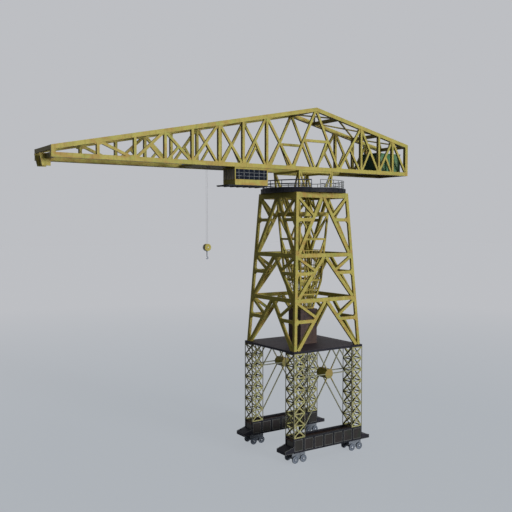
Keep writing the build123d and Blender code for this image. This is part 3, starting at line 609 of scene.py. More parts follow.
class CRANE_OT_finishes(bpy.types.Operator):
    """Makes the finishes and gives each plain piece its own"""

    bl_idname = "crane.finishes"
    bl_label = "Finishes"

    def execute(self, context):
        self.crane_paint(context.scene.crane_paints)
        self.other_paint(context.scene.crane_paints)
        slots = {s["node"]: s["material_slot"] for s in frame["record"]["subparts"]}
        for name, node in frame["nodes"].items():
            finish = MATERIALS[FINISH_OF_NODE.get(name, slots[name])]
            if not node.material_slots:
                node.data.materials.append(finish)
            for place in node.material_slots:
                place.material = finish
        return {"FINISHED"}

    def crane_paint(self, p):
        """The yellow paint, as it has aged on each part of the lattice work, with painted shade on
        undersides and on the sides that look to the nose, and painted light on those sides of the legs'
        corner angles.
        """
        rust = (0.20, 0.10, 0.045)
        yellow = ((p.olive, p.ochre), p.soot_and_shade, rust)
        weathered("crane_paint", p.yellow, *yellow, painted_side_light=p.painted_side_light)
        # Copies of the yellow paint with stronger painted shade: on the trusses' nose sides and undersides,
        # and on the nose bracket's nose sides
        weathered("truss_paint_shaded", p.yellow, *yellow, painted_side_light=p.truss_painted_shade, underside_shade=0.9)
        weathered("nose_paint_shaded", p.yellow, *yellow, painted_side_light=p.leg_painted_shade)
        weathered("rod_paint", p.drum, *yellow, rods=p.rod_grey, painted_side_light=p.painted_side_light)
        # The legs: painted shade on the nose side of their flat bars, and painted light on the nose side of
        # their corner angles
        for name, base, patches, painted_side_light in (
                ("leg_paint", p.leg, ((0.36, 0.40, 0.14), (0.40, 0.34, 0.16)), p.leg_painted_shade),
                ("leg_post", p.post, ((0.22, 0.22, 0.20), (0.34, 0.33, 0.14)), p.post_painted_light)):
            weathered(name, base, patches, p.soot_and_shade, rust, mottle=14.0, painted_side_light=painted_side_light)

    def other_paint(self, p):
        """The dark, grey and green paints, the glass and the bare steel, with painted shade on undersides
        and on the green's nose side, and a painted reflection on the glass at the cab's end.
        """
        # Grime of the black paints' rain streaks, which also gives their painted shade on undersides
        coal_and_shade = (0.008, 0.008, 0.010)
        iron = (0.10, 0.10, 0.11)
        weathered("dark_paint", p.black, (p.black_patch, (0.018, 0.022, 0.026)), coal_and_shade, iron, 0.55)
        weathered("deck", p.black, (p.black_patch,), coal_and_shade, iron, 0.55, dust=p.dust)
        weathered("brown_paint", p.brown, ((0.12, 0.078, 0.062), (0.055, 0.040, 0.042)),
                  (0.02, 0.015, 0.014), (0.14, 0.11, 0.10), 0.55, underside_shade=0.5)
        weathered("panel", p.panel, ((0.030, 0.036, 0.028), (0.026, 0.022, 0.023)),
                  (0.02, 0.018, 0.018), (0.14, 0.12, 0.11))
        weathered("floor_paint", p.floor, ((0.18, 0.15, 0.06),), (0.04, 0.03, 0.015), (0.2, 0.15, 0.1),
                  0.6, underside_shade=0.2)
        # The greys: each one's paint, its patches, its grime (also its painted shade on undersides), its
        # bare metal and its roughness
        for name, *looks in (
                ("wheel_paint", p.blue_grey, (0.17, 0.20, 0.26), (0.06, 0.065, 0.075),
                 (0.42, 0.43, 0.45), 0.45),
                ("bogie_paint", p.bogie, (0.14, 0.16, 0.19), (0.03, 0.03, 0.035), (0.3, 0.3, 0.3), 0.5),
                ("rail_paint", p.navy, (0.07, 0.08, 0.11), (0.02, 0.02, 0.03), (0.25, 0.25, 0.27), 0.5),
                ("trim", p.light_grey, (0.20, 0.21, 0.22), (0.06, 0.06, 0.06), (0.4, 0.4, 0.4), 0.5),
                ("outline", p.outline, (0.09, 0.095, 0.09), (0.03, 0.03, 0.03), (0.2, 0.2, 0.2), 0.5)):
            base, patch, grime_and_shade, bare, roughness = looks
            weathered(name, base, (patch,), grime_and_shade, bare, roughness)
        sheet_metal(p.green, p.green_patch, (0.02, 0.05, 0.03), p.green_painted_shade)
        window_glass(p.pane, p.end_pane_painted_reflection, (0.02, 0.045, 0.06))
        steel("rope", p.rope, 0.45)
        steel("worn_steel", p.worn, 0.3)


class CRANE_OT_travel_wheels(bpy.types.Operator):
    """Turns the sixteen travel wheels, with rims, holes in their webs and hubs"""

    bl_idname = "crane.travel_wheels"
    bl_label = "Travel wheels"

    wheelsets = 8
    boss = 4 * MM
    axle = 8 * MM
    recess = 4 * MM
    holes = 6
    hole_circle = 24 * MM
    hub_cap = ((0, 3.9), (6, 3.9), (9, 2.5), (9, -15), (0, -15))
    hole_rim = mm((4.5, 0), (6, 0), (5.6, 1.2), (4.9, 1.2))

    def execute(self, context):
        for i in range(self.wheelsets):
            self.wheelset(f"wheelset_{i + 1}")
        return {"FINISHED"}

    def wheelset(self, node):
        centre, half = measure(node)
        tread = half.z / MM
        reach = half.y - self.boss
        shape = Shape()
        shape.rod(self.axle, reach, centre, sides=24)
        profile = (
            (9, -15), (tread - 1.5, -15), (tread, -13.5), (tread, -1.5), (tread - 1.5, 0), (tread - 8, 0),
            (tread - 10, -4), (16, -4), (14, 0), (13, 3), (9, 3),
        )
        for side in SIDES:
            face = side * reach
            shape.wheel(profile, centre, face, side, sides=48, closed=True)
            shape.mark = 1
            shape.wheel(self.hub_cap, centre, face, side, sides=24)
            shape.mark = 0
            for k in range(self.holes):
                x, z = polar(2 * math.pi * k / self.holes, self.hole_circle)
                spot = centre + Vector((x, face - side * self.recess, z))
                shape.lathe(self.hole_rim, spot, (0, side, 0), sides=12, closed=True)
        shape.done(f"{node}_turned", body_of(node), "wheel_paint", ("wheel_paint", "worn_steel"), node)


class CRANE_OT_legs(bpy.types.Operator):
    """Builds the four lattice legs of corner angles, flat bars and joint plates"""

    bl_idname = "crane.legs"
    bl_label = "Legs"

    angle = 10 * MM
    leaf = 3 * MM
    flat = 2.5 * MM
    bar_width = 15 * MM
    tie_height = 14 * MM
    joint_half = 18 * MM
    joint_reach = 16 * MM
    chamfer = 10 * MM
    rivet_places = (-4 * MM, 6 * MM)
    rivet_size = 0.8

    def execute(self, context):
        for node in (f"leg_{y}_{x}" for x in ("left", "right") for y in ("near", "far")):
            low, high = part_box(node)
            middle = Matrix.Translation(((low.x + high.x) / 2, (low.y + high.y) / 2, 0))
            shape = Shape()
            for quarter in range(4):
                shape.place = middle @ quarter_turn(quarter)
                self.side(shape, (high.x - low.x) / 2, low.z, high.z)
            shape.done(f"{node}_lattice", "portal", "crane_paint", ("leg_paint", "leg_post"), node)
        return {"FINISHED"}

    def side(self, shape, half, base, top):
        """One flat side of a leg, at the front of its own square."""
        face = -half
        behind = face + self.leaf
        reach = half - self.leaf
        foot = half - self.angle / 2
        rise = self.tie_height / 2
        step = (top - base - self.tie_height) / LEG_PANELS
        shape.mark = 1
        shape.slab(-half, self.angle - half, face, behind, base, top)
        shape.slab(half - self.angle, half, face, behind, base, top)
        shape.mark = 0
        for k in range(LEG_PANELS + 1):
            z = base + rise + k * step
            shape.slab(-reach, reach, behind, behind + self.flat, z - rise, z + rise)
            for side in SIDES:
                self.joint(shape, side, half, max(z - self.joint_half, base), min(z + self.joint_half, top))
            if k < LEG_PANELS:
                for side, depth in ((-1, behind + self.flat), (1, behind + 2 * self.flat)):
                    ends = (-side * foot, depth, z), (side * foot, depth, z + step)
                    shape.bar(*ends, (0, -1, 0), self.bar_width, self.flat)

    def joint(self, shape, side, half, low, high):
        """The joint plate between an angle and the bars that meet there."""
        edge = half - self.angle
        inner = edge - self.joint_reach
        heights = (low + self.chamfer, high - self.chamfer)
        outline = [(side * edge, low), *((side * inner, z) for z in heights), (side * edge, high)]
        shape.prism(outline, (0, self.flat - half, 0), AHEAD, UP, self.flat)
        for z in heights:
            for shift in self.rivet_places:
                shape.rivet((side * (edge + shift), -half, z), (0, -1, 0), self.rivet_size)


class CRANE_OT_bearing_ring(bpy.types.Operator):
    """Turns the bearing ring, with its lips, ribs and rivets"""

    bl_idname = "crane.bearing_ring"
    bl_label = "Bearing ring"

    lip = 9 * MM
    recess = 5 * MM
    edge = 2 * MM
    slope = 1 * MM
    ribs = 32
    rib_half = 2 * MM
    rivets = 96

    def execute(self, context):
        low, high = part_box("bearing_ring")
        outer = (high.x - low.x) / 2
        web = outer - self.recess
        bore = min(math.hypot(corner.x, corner.y) for corner in corners("bearing_ring"))
        floor = low.z + self.lip
        roof = high.z - self.lip
        profile = (
            (bore, low.z), (outer - self.edge, low.z), (outer, low.z + self.edge), (outer, floor),
            (web, floor + self.slope), (web, roof - self.slope), (outer, roof),
            (outer, high.z - self.edge), (outer - self.edge, high.z), (bore, high.z),
        )
        shape = Shape()
        shape.lathe(profile, (0, 0, 0), UP, sides=128, closed=True)
        for k in range(self.ribs):
            shape.place = Matrix.Rotation(2 * math.pi * (k + 0.5) / self.ribs, 4, "Z")
            shape.slab(web - self.slope, outer - self.slope, -self.rib_half, self.rib_half, floor, roof)
        shape.place = Matrix.Identity(4)
        for k in range(self.rivets):
            turn = 2 * math.pi * k / self.rivets
            for level in (floor - self.lip / 2, roof + self.lip / 2):
                shape.rivet((*polar(turn, outer), level), (*polar(turn, 1), 0))
        shape.done("bearing_ring_turned", "portal", "dark_paint", replaces="bearing_ring")
        return {"FINISHED"}


class CRANE_OT_guard_rail(bpy.types.Operator):
    """Bends the guard rail's tubes round the ring, with a way through on the near side"""

    bl_idname = "crane.guard_rail"
    bl_label = "Guard rail"

    inset = 5 * MM
    posts = 20
    gap_angle = math.radians(-109.5)
    heavy_posts = 6
    heavy_sweep = math.radians(125)
    heavy_size = 1.6
    step = math.radians(3)
    tube_sizes = (1.0, 0.8, 0.6)
    board_lift = 1 * MM
    board_half = 1 * MM
    board_height = 9 * MM
    foot_plate = mm((0, 0), (6, 0), (6, 1.5), (3, 3), (0, 3))

    def execute(self, context):
        low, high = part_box("ring_railing")
        radius = (high.x - low.x) / 2 - self.inset
        tube = fittings().rail_tube
        gap = fittings().rail_gap / radius
        heavy = self.heavy_sweep
        shape = Shape()
        start = self.gap_angle - gap / 2 - heavy
        self.run(shape, radius, low.z, high.z, start, heavy, tube * self.heavy_size, self.heavy_posts)
        shape.mark = 1
        start = self.gap_angle + gap / 2
        self.run(shape, radius, low.z, high.z, start, 2 * math.pi - gap - heavy, tube, self.posts)
        shape.done("guard_rail_tubes", "portal", "wheel_paint", ("rail_paint", "trim"), "ring_railing")
        return {"FINISHED"}

    def run(self, shape, radius, base, top, start, sweep, tube, posts):
        """One run of the rail: three tubes, a toe board and its posts."""
        count = round(sweep / self.step) + 1
        middle = (base + top) / 2
        for z, size in zip((top - tube, middle, (middle + base) / 2), self.tube_sizes):
            shape.tube(arc(radius, count, z, start, sweep), tube * size)
        band = arc(radius, count, 0, start, sweep)
        for a, b in zip(band, band[1:]):
            out = (a + b).normalized() * self.board_half
            outline = [(p.x, p.y) for p in (a - out, b - out, b + out, a + out)]
            shape.prism(outline, (0, 0, base + self.board_lift), AHEAD, ACROSS, self.board_height)
        for foot in arc(radius, posts + 1, base, start, sweep):
            shape.tube((foot, foot + Vector((0, 0, top - base - tube))), fittings().rail_tube)
            shape.lathe(self.foot_plate, foot, UP, sides=8)


class CRANE_OT_jib_joints(bpy.types.Operator):
    """Cuts the joint plates of the two trusses, and rivets them"""

    bl_idname = "crane.jib_joints"
    bl_label = "Jib joints"

    web_half = 11 * MM
    wide = 52 * MM
    narrow = 28.6 * MM
    tall = 17 * MM
    tuck = 2 * MM
    end_gap = 4 * MM
    rivet_rise = 6 * MM
    rivet_shares = (-0.62, -0.45, 0.45, 0.62)

    def execute(self, context):
        low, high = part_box("jib_bottom_chords")
        centre = (high.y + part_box("jib_cross_beams")[1].y) / 2
        nose, tail = jib_stations()
        shape = Shape()
        for x in nose + tail[:-1]:
            at_top = x in nose[1::2] or x in tail[1::2]
            z = chord_line(x) - CHORD if at_top else high.z
            for side in SIDES:
                for face in SIDES:
                    spot = Vector((x, side * centre + face * self.web_half, z))
                    self.plate(shape, spot, face, -1 if at_top else 1, low.x + self.end_gap)
        shape.done("jib_joint_plates", "slewing_part", "crane_paint")
        return {"FINISHED"}

    def plate(self, shape, spot, face, way, limit):
        """A small plate in the corner of the web and the chord, with clipped corners."""
        thick = fittings().gusset
        outline = ((-self.wide, -self.tuck), (self.wide, -self.tuck),
                   (self.narrow, self.tall), (-self.narrow, self.tall))
        outline = [(max(-face * a, limit - spot.x) * -face, b * way) for a, b in outline]
        if way < 0:
            outline.reverse()
        shape.prism(outline, spot, (-face, 0, 0), UP, thick)
        for share in self.rivet_shares:
            rivet = spot + Vector((share * self.wide, face * thick, way * self.rivet_rise))
            if rivet.x > limit:
                shape.rivet(rivet, (0, face, 0))


class CRANE_OT_jib_rivets(bpy.types.Operator):
    """Sets the rows of rivets along the chords"""

    bl_idname = "crane.jib_rivets"
    bl_label = "Jib rivets"

    edge = 7 * MM
    end_gap = 12 * MM
    top_drops = (8 * MM, 39 * MM)

    def execute(self, context):
        low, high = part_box("jib_bottom_chords")
        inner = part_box("jib_cross_beams")[1].y
        ends = (low.x + self.edge, high.x - self.edge)
        shape = Shape()
        for side in SIDES:
            for y, way in ((side * high.y, side), (side * inner, -side)):
                for z in (low.z + self.edge, high.z - self.edge):
                    shape.rivets((ends[0], y, z), (ends[1], y, z), (0, way, 0))
                if way != side:
                    continue
                for drop in self.top_drops:
                    for end in (low.x + self.end_gap, high.x - self.end_gap):
                        peak, tip = ((x, y, chord_line(x) - drop) for x in (0, end))
                        shape.rivets(peak, tip, (0, way, 0))
        shape.done("jib_rivet_rows", "slewing_part", "crane_paint")
        return {"FINISHED"}


class CRANE_OT_tower_rivets(bpy.types.Operator):
    """Sets the rows of rivets on the fixed tower"""

    bl_idname = "crane.tower_rivets"
    bl_label = "Tower rivets"

    post_rows = (8 * MM, 28 * MM)
    post_gap = 8 * MM
    beam_row = 7 * MM
    beam_gap = 44 * MM
    brace_rows = (-12 * MM, 12 * MM)
    brace_foot = (82 * MM, 50 * MM)
    brace_head = (18 * MM, 40 * MM)
    brace_spread = 1.5

    def execute(self, context):
        low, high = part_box("tower_posts")
        lean = (high.x - reach_at("tower_posts", high.z)) / (high.z - low.z)
        slope = math.hypot(1, lean)
        up = Vector((0, lean, 1)) / slope
        out = Vector((0, -1, lean)) / slope
        origin = Vector((0, -high.x, low.z))
        beams = levels("tower_beams")
        shape = Shape()

        def half(z):
            """Half the tower's width at a height."""
            return high.x - (z - low.z) * lean

        def spot(x, z):
            """A point of the leaning front face."""
            return origin + Vector((x, 0, 0)) + up * ((z - low.z) * slope)

        for quarter in range(4):
            shape.place = quarter_turn(quarter)
            for side in SIDES:
                for inset in self.post_rows:
                    foot, head = (
                        spot(side * (half(z) - inset), z + gap)
                        for z, gap in ((low.z, self.post_gap), (high.z, -self.post_gap)))
                    shape.rivets(foot, head, out)
            for base, head, top in zip([low.z] + beams[1:-1:2], beams[::2], beams[1::2]):
                reach = half(top) - self.beam_gap
                for z in (top - self.beam_row, head + self.beam_row):
                    shape.rivets(spot(-reach, z), spot(reach, z), out)
                for side in SIDES:
                    for shift in self.brace_rows:
                        foot_x = side * (half(base) - self.brace_foot[0]) + shift
                        head_x = side * self.brace_head[0] + shift
                        foot = spot(foot_x, base + self.brace_foot[1])
                        shape.rivets(foot, spot(head_x, head - self.brace_head[1]), out, self.brace_spread)
        shape.done("tower_rivet_rows", "portal", "crane_paint")
        return {"FINISHED"}


class CRANE_OT_column_lacing(bpy.types.Operator):
    """Laces the foot and the lower bay of the slewing column with fine bars"""

    bl_idname = "crane.column_lacing"
    bl_label = "Column lacing"

    post = 20 * MM
    deep = 6 * MM
    uprights = (0.0, 0.34, 0.67)
    belt = 46 * MM
    belt_share = 0.615
    cross_reach = 0.98
    cross_width = 0.8
    bay_height = 0.4
    foot_gap = 5 * MM

    def execute(self, context):
        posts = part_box("column_posts")
        kink = posts[0].z
        machine_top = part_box("machine_box")[1].z
        plate = min(z for z in levels("column_foot") if z > machine_top + self.foot_gap)
        bay = min(z for z in levels("column_bracing") if z > kink + self.bay_height)
        plate_half = reach_at("column_foot", plate)
        kink_half = reach_at("column_posts", kink)
        spread = posts[1].x - kink_half
        height = posts[1].z - kink
        bay_half = kink_half + spread * (bay - kink) / height
        belt_z = kink + self.belt_share * height - self.belt / 2
        reach = kink_half + self.belt_share * spread - self.deep
        shape = Shape()
        for quarter in range(4):
            shape.place = quarter_turn(quarter)
            foot = (plate, plate_half), (kink, kink_half)
            self.side(shape, *foot, floors=3, inset=3 * MM, crossed=2, reach=1)
            lower_bay = (kink, kink_half), (bay, bay_half)
            self.side(shape, *lower_bay, floors=5, inset=4 * MM, crossed=0, reach=0.8)
            shape.slab(-reach, reach, -reach, self.deep - reach, belt_z, belt_z + self.belt)
        shape.done("column_lacing_bars", "slewing_part", "crane_paint")
        return {"FINISHED"}

    def side(self, shape, low, high, floors, inset, crossed, reach):
        """Uprights that fan out up to a share of the height, level ties, and one crossed floor."""
        wide = fittings().lacing
        normal = Vector((0, -1, (high[1] - low[1]) / (high[0] - low[0]))).normalized()

        def lay(start, end, width=wide):
            """A bar between two places, each given as shares of the width and the height."""
            ends = []
            for share, rise in (start, end):
                z = low[0] + (high[0] - low[0]) * rise
                half = low[1] + (high[1] - low[1]) * rise
                ends.append(Vector((share * (half - self.post), -half + inset + self.deep, z)))
            shape.bar(*ends, normal, width, self.deep)

        for share in self.uprights:
            for side in SIDES if share else (1,):
                lay((side * share, 0), (side * share, reach))
        for k in range(1, floors):
            lay((-1, k / floors), (1, k / floors))
        foot, head = crossed / floors, (crossed + 1) / floors
        for corner in (-self.cross_reach, self.cross_reach):
            lay((0, foot), (corner, head), wide * self.cross_width)
            lay((corner, foot), (0, head), wide * self.cross_width)


class CRANE_OT_sills(bpy.types.Operator):
    """Builds the sills as riveted girders with framed panels and sloped buffers"""

    bl_idname = "crane.sills"
    bl_label = "Sills"

    flange = 9 * MM
    lip = 5 * MM
    web = 8 * MM
    top_flange = 20 * MM
    recess = 12 * MM
    trough = 14 * MM
    panel_gap = 26 * MM
    panel_drop = (10 * MM, 9 * MM)
    panel_rise = 1 * MM
    strip_rise = 3.5 * MM
    rib_half = 3 * MM
    rib_rise = 4 * MM
    end_gap = 8 * MM
    end_plate = 1.5 * MM
    plate_lift = 3 * MM
    rivet_spread = 1.3
    tip_height = 35 * MM
    root_height = 69 * MM
    buffer_strip = 0.8
    buffer_rise = 1.2 * MM

    def execute(self, context):
        for node in ("sill_near", "sill_far"):
            self.sill(node)
        return {"FINISHED"}

    def sill(self, node):
        low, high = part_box(node)
        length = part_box("deck")[1].x
        floor = low.z + self.flange
        roof = high.z - self.flange
        bed = roof - self.trough
        shape = Shape()
        shape.slab(-length, length, low.y, high.y, low.z, floor)
        shape.mark = 3
        shape.slab(-length, length, low.y + self.lip, high.y - self.lip, bed - self.web, bed)
        shape.mark = 0
        reach = length - self.end_gap
        for y, way in ((low.y, 1), (high.y, -1)):
            face = y + way * self.lip
            shape.slab(-length, length, y, y + way * self.top_flange, roof, high.z)
            shape.slab(-length, length, face, face + way * self.web, floor, roof)
            self.panels(shape, length, face, -way, floor, roof)
            for z in (low.z + self.flange / 2, high.z - self.flange / 2):
                shape.rivets((-reach, y, z), (reach, y, z), (0, -way, 0), self.rivet_spread)
            self.buffer_sides(shape, y, -way, low.z, length, high.x)
        near, far = low.y + self.lip + self.web, high.y - self.lip - self.web
        for end in SIDES:
            back = end * (length - self.recess)
            shape.slab(back, back - end * self.web, near, far, floor, bed - self.web)
            shape.mark = 1
            foot = floor + self.plate_lift
            shape.slab(back, back + end * self.end_plate, near, far, foot, bed - self.web)
            shape.mark = 0
            outline = [(end * x, z) for x, z in self.buffer_outline(low.z, length, high.x)]
            shape.prism(outline, (0, high.y, 0), AHEAD, UP, high.y - low.y)
        finishes = ("dark_paint", "outline", "panel", "brown_paint")
        shape.done(f"{node}_girder", "portal", "dark_paint", finishes, node)

    def panels(self, shape, length, face, way, floor, roof):
        """The framed panels of one web."""
        strip = fittings().trim
        pitch = 2 * length / SILL_PANELS
        low = floor + self.panel_drop[0]
        high = roof - self.panel_drop[1]
        raised = face + way * self.strip_rise
        for i in range(SILL_PANELS):
            a = -length + i * pitch + self.panel_gap / 2
            b = a + pitch - self.panel_gap
            shape.mark = 2
            shape.slab(a + strip, b - strip, face, face + way * self.panel_rise, low + strip, high - strip)
            shape.mark = 1
            for z in (low, high - strip):
                shape.slab(a, b, face, raised, z, z + strip)
            for x in (a, b - strip):
                shape.slab(x, x + strip, face, raised, low + strip, high - strip)
        shape.mark = 0
        reach = length - self.rib_half
        for i in range(SILL_PANELS + 1):
            x = max(-reach, min(reach, i * pitch - length))
            shape.slab(x - self.rib_half, x + self.rib_half, face, face + way * self.rib_rise, floor, roof)

    def buffer_outline(self, base, root, tip):
        """The side of a buffer: level below, and sloped down to its tip above."""
        return (root, base), (tip, base), (tip, base + self.tip_height), (root, base + self.root_height)

    def buffer_sides(self, shape, y, way, base, root, tip):
        """Strips along the edges of a buffer's side."""
        strip = fittings().trim * self.buffer_strip
        shape.mark = 1
        for end in SIDES:
            outline = self.buffer_outline(base + strip, root, tip)
            points = [(end * (x - strip / 2), y, z) for x, z in outline]
            for a, b in zip(points, points[1:]):
                shape.bar(a, b, (0, way, 0), strip, self.buffer_rise)
        shape.mark = 0


class CRANE_OT_machine_box(bpy.types.Operator):
    """Lays the cover strips, bands and rivets on the machine box"""

    bl_idname = "crane.machine_box"
    bl_label = "Machine box"

    strip_half = 4 * MM
    strip_rise = 1.5 * MM
    band_rise = 2.5 * MM
    band = 10 * MM
    end_gap = 8 * MM
    rivet_size = 0.8

    def execute(self, context):
        low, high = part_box("machine_box")
        half = high.x
        face = -half - self.strip_rise
        outer = -half - self.band_rise
        shape = Shape()
        for quarter in range(4):
            shape.place = quarter_turn(quarter)
            for x in (-half / 2, 0.0, half / 2):
                shape.slab(x - self.strip_half, x + self.strip_half, face, -half, low.z, high.z)
                ends = (x, face, low.z + self.end_gap), (x, face, high.z - self.end_gap)
                shape.rivets(*ends, (0, -1, 0), size=self.rivet_size)
            for z in (low.z, (low.z + high.z) / 2, high.z - self.band):
                shape.slab(outer, half, outer, -half, z, z + self.band)
        shape.done("machine_box_strips", "portal", "brown_paint")
        return {"FINISHED"}


class CRANE_OT_winch_house(bpy.types.Operator):
    """Adds the ribs, cover strips and roof edge of the winch house"""

    bl_idname = "crane.winch_house"
    bl_label = "Winch house"

    end_gap = 8 * MM
    side_ribs = 12
    end_ribs = 10
    roof_ribs = 8
    rib_rise = 2 * MM
    rib_half = 2 * MM
    strip_half = 5 * MM
    rib_drop = 4 * MM
    eaves = 5 * MM
    eaves_drop = 7 * MM

    def execute(self, context):
        low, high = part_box("winch_house")
        top = high.z - self.rib_drop
        roof = high.z + self.rib_rise
        edge = high.z - self.eaves_drop
        shape = Shape()
        for side in SIDES:
            y = side * high.y
            for i, x in enumerate(spaced(low.x + self.end_gap, high.x - self.end_gap, self.side_ribs)):
                half = self.rib_half if i % 3 else self.strip_half
                shape.slab(x - half, x + half, y, y + side * self.rib_rise, low.z, top)
            shape.slab(low.x - self.eaves, high.x + self.eaves, y, y + side * self.eaves, edge, roof)
        for side, x in ((-1, low.x), (1, high.x)):
            for y in spaced(low.y + self.end_gap, high.y - self.end_gap, self.end_ribs):
                shape.slab(x, x + side * self.rib_rise, y - self.rib_half, y + self.rib_half, low.z, top)
            shape.slab(x, x + side * self.eaves, low.y, high.y, edge, roof)
        for x in spaced(low.x, high.x, self.roof_ribs)[1:-1]:
            shape.slab(x - self.rib_half, x + self.rib_half, low.y, high.y, high.z, roof)
        shape.done("winch_house_ribs", "slewing_part", "green_paint")
        return {"FINISHED"}


class CRANE_OT_cab(bpy.types.Operator):
    """Sets the window bars, the eaves and the floor beams of the operator's cab"""

    bl_idname = "crane.cab"
    bl_label = "Operator's cab"

    columns = 7
    rows = 3
    narrow = 0.62
    corner_post = 10 * MM
    bar_deep = 2.5 * MM
    bar_sink = 0.8 * MM
    cross_bar = 0.8
    cross_sink = 0.6 * MM
    eaves = 5 * MM
    eaves_span = (-3 * MM, 4 * MM)
    band_rise = 2 * MM
    band = 9 * MM
    sill_drops = (9 * MM, 2 * MM)
    beams = 7
    beam_gap = 12 * MM
    beam_half = 3 * MM
    beam_deep = 8 * MM
    beam_inset = 4 * MM
    edge_rise = 1.5 * MM
    edge_drop = 3 * MM

    def execute(self, context):
        low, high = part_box("cab_walls")
        bar = fittings().window_bar
        left, right = low.x + self.corner_post, high.x - self.corner_post
        near, far = low.y + self.corner_post, high.y - self.corner_post
        bars = Shape()
        for y, way in ((low.y, -1), (high.y, 1)):
            self.grid(bars, (left, y, 0), (right, y, 0), bar, (0, way, 0), self.rows)
        self.grid(bars, (low.x, near, 0), (low.x, far, 0), bar * 2, (-1, 0, 0), 1)
        bars.done("cab_window_bars", "slewing_part", "wheel_paint", ("trim",))
        self.strips(low, high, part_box("cab_windows")[0].z)
        self.floor_beams(*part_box("cab_floor"))
        return {"FINISHED"}

    def grid(self, shape, start, end, bar, normal, rows):
        """Bars of a window band, with narrower panes at both ends."""
        sill, head = (corner.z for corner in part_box("cab_windows"))
        start = Vector(start)
        run = Vector(end) - start
        normal = Vector(normal)
        shares = [self.narrow] + [1.0] * (self.columns - 2) + [self.narrow]
        place = 0
        for share in shares[:-1]:
            place += share / sum(shares)
            foot = start + run * place + Vector((0, 0, sill)) - normal * self.bar_sink
            shape.bar(foot, foot + Vector((0, 0, head - sill)), normal, bar, self.bar_deep)
        for k in range(1, rows):
            left = start + Vector((0, 0, sill + (head - sill) * k / rows)) - normal * self.cross_sink
            shape.bar(left, left + run, normal, bar * self.cross_bar, self.bar_deep)

    def strips(self, low, high, sill):
        """The eaves, and bands at the foot of the walls and under the windows."""
        eaves = Shape()
        top = [high.z + rise for rise in self.eaves_span]
        under = [sill - drop for drop in self.sill_drops]
        left = low.x - self.eaves
        right = high.x + self.eaves
        for y, way in ((low.y, -1), (high.y, 1)):
            face = y + way * self.band_rise
            eaves.slab(left, right, y, y + way * self.eaves, *top)
            eaves.slab(low.x, high.x, y, face, low.z, low.z + self.band)
            eaves.slab(low.x, high.x, y, face, *under)
        eaves.slab(low.x - self.band_rise, low.x, low.y, high.y, *under)
        eaves.done("cab_eaves", "slewing_part", "crane_paint")

    def floor_beams(self, low, high):
        """Beams and an edge strip under the cab's floor and its balcony."""
        beams = Shape()
        near, far = low.y + self.beam_inset, high.y - self.beam_inset
        for x in spaced(low.x + self.beam_gap, high.x - self.beam_gap, self.beams - 1):
            beams.slab(x - self.beam_half, x + self.beam_half, near, far, low.z - self.beam_deep, low.z)
        for y, way in ((low.y, -1), (high.y, 1)):
            beams.slab(low.x, high.x, y, y + way * self.edge_rise, low.z - self.edge_drop, high.z)
        beams.done("cab_floor_beams", "slewing_part", "dark_paint")


class CRANE_OT_trolley(bpy.types.Operator):
    """Turns the trolley's wheels and rope sheaves"""

    bl_idname = "crane.trolley"
    bl_label = "Trolley"

    stub = ((0, -8), (4, -8), (4, -15), (0, -15))
    axle = 7 * MM

    def execute(self, context):
        self.wheels()
        self.sheaves()
        return {"FINISHED"}

    def wheels(self):
        low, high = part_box("trolley_wheels")
        radius = (high.z - low.z) / 2
        level = (high.z + low.z) / 2
        rim = radius / MM
        profile = ((0, 0), (5, 0), (5, -1), (rim - 4, -1), (rim - 3, 0), (rim, -1), (rim, -8), (0, -8))
        shape = Shape()
        for side in SIDES:
            for x in (low.x + radius, high.x - radius):
                shape.wheel(profile, (x, 0, level), side * high.y, side, sides=32)
                shape.wheel(self.stub, (x, 0, level), side * high.y, side, sides=12)
        shape.done("trolley_wheels_turned", "trolley", "wheel_paint", replaces="trolley_wheels")

    def sheaves(self):
        centre, half = measure("trolley_sheaves")
        rim = half.z / MM
        profile = (
            (0, -6), (rim - 1, -6), (rim, -5), (rim - 4, -1), (rim - 4, 1), (rim, 5), (rim - 1, 6), (0, 6))
        shape = Shape()
        for y in fall_places():
            shape.wheel(profile, centre, y, 1, sides=40)
        shape.rod(self.axle, half.y, centre, sides=20)
        shape.done("trolley_sheaves_turned", "trolley", "wheel_paint", replaces="trolley_sheaves")


class CRANE_OT_falls(bpy.types.Operator):
    """Lays the two falls of the hoist as stranded wire rope"""

    bl_idname = "crane.falls"
    bl_label = "Hoist falls"

    strands = 5
    strand_share = 0.5
    lay_share = 0.55
    pitch = 24 * MM
    steps = 6

    def execute(self, context):
        low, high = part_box("hook_falls")
        radius = fittings().rope_radius
        middle = (low.x + high.x) / 2
        height = high.z - low.z
        count = round(height / self.pitch * self.steps)
        shape = Shape()
        for place in fall_places():
            for strand in range(self.strands):
                path = []
                for i in range(count + 1):
                    turn = 2 * math.pi * (i / self.steps + strand / self.strands)
                    x, y = polar(turn, radius * self.lay_share)
                    path.append((middle + x, place + y, low.z + height * i / count))
                shape.tube(path, radius * self.strand_share, sides=5)
        piece = shape.done("hoist_falls", "trolley", "rope_steel", ("rope",), "hook_falls")
        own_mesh(piece)
        return {"FINISHED"}


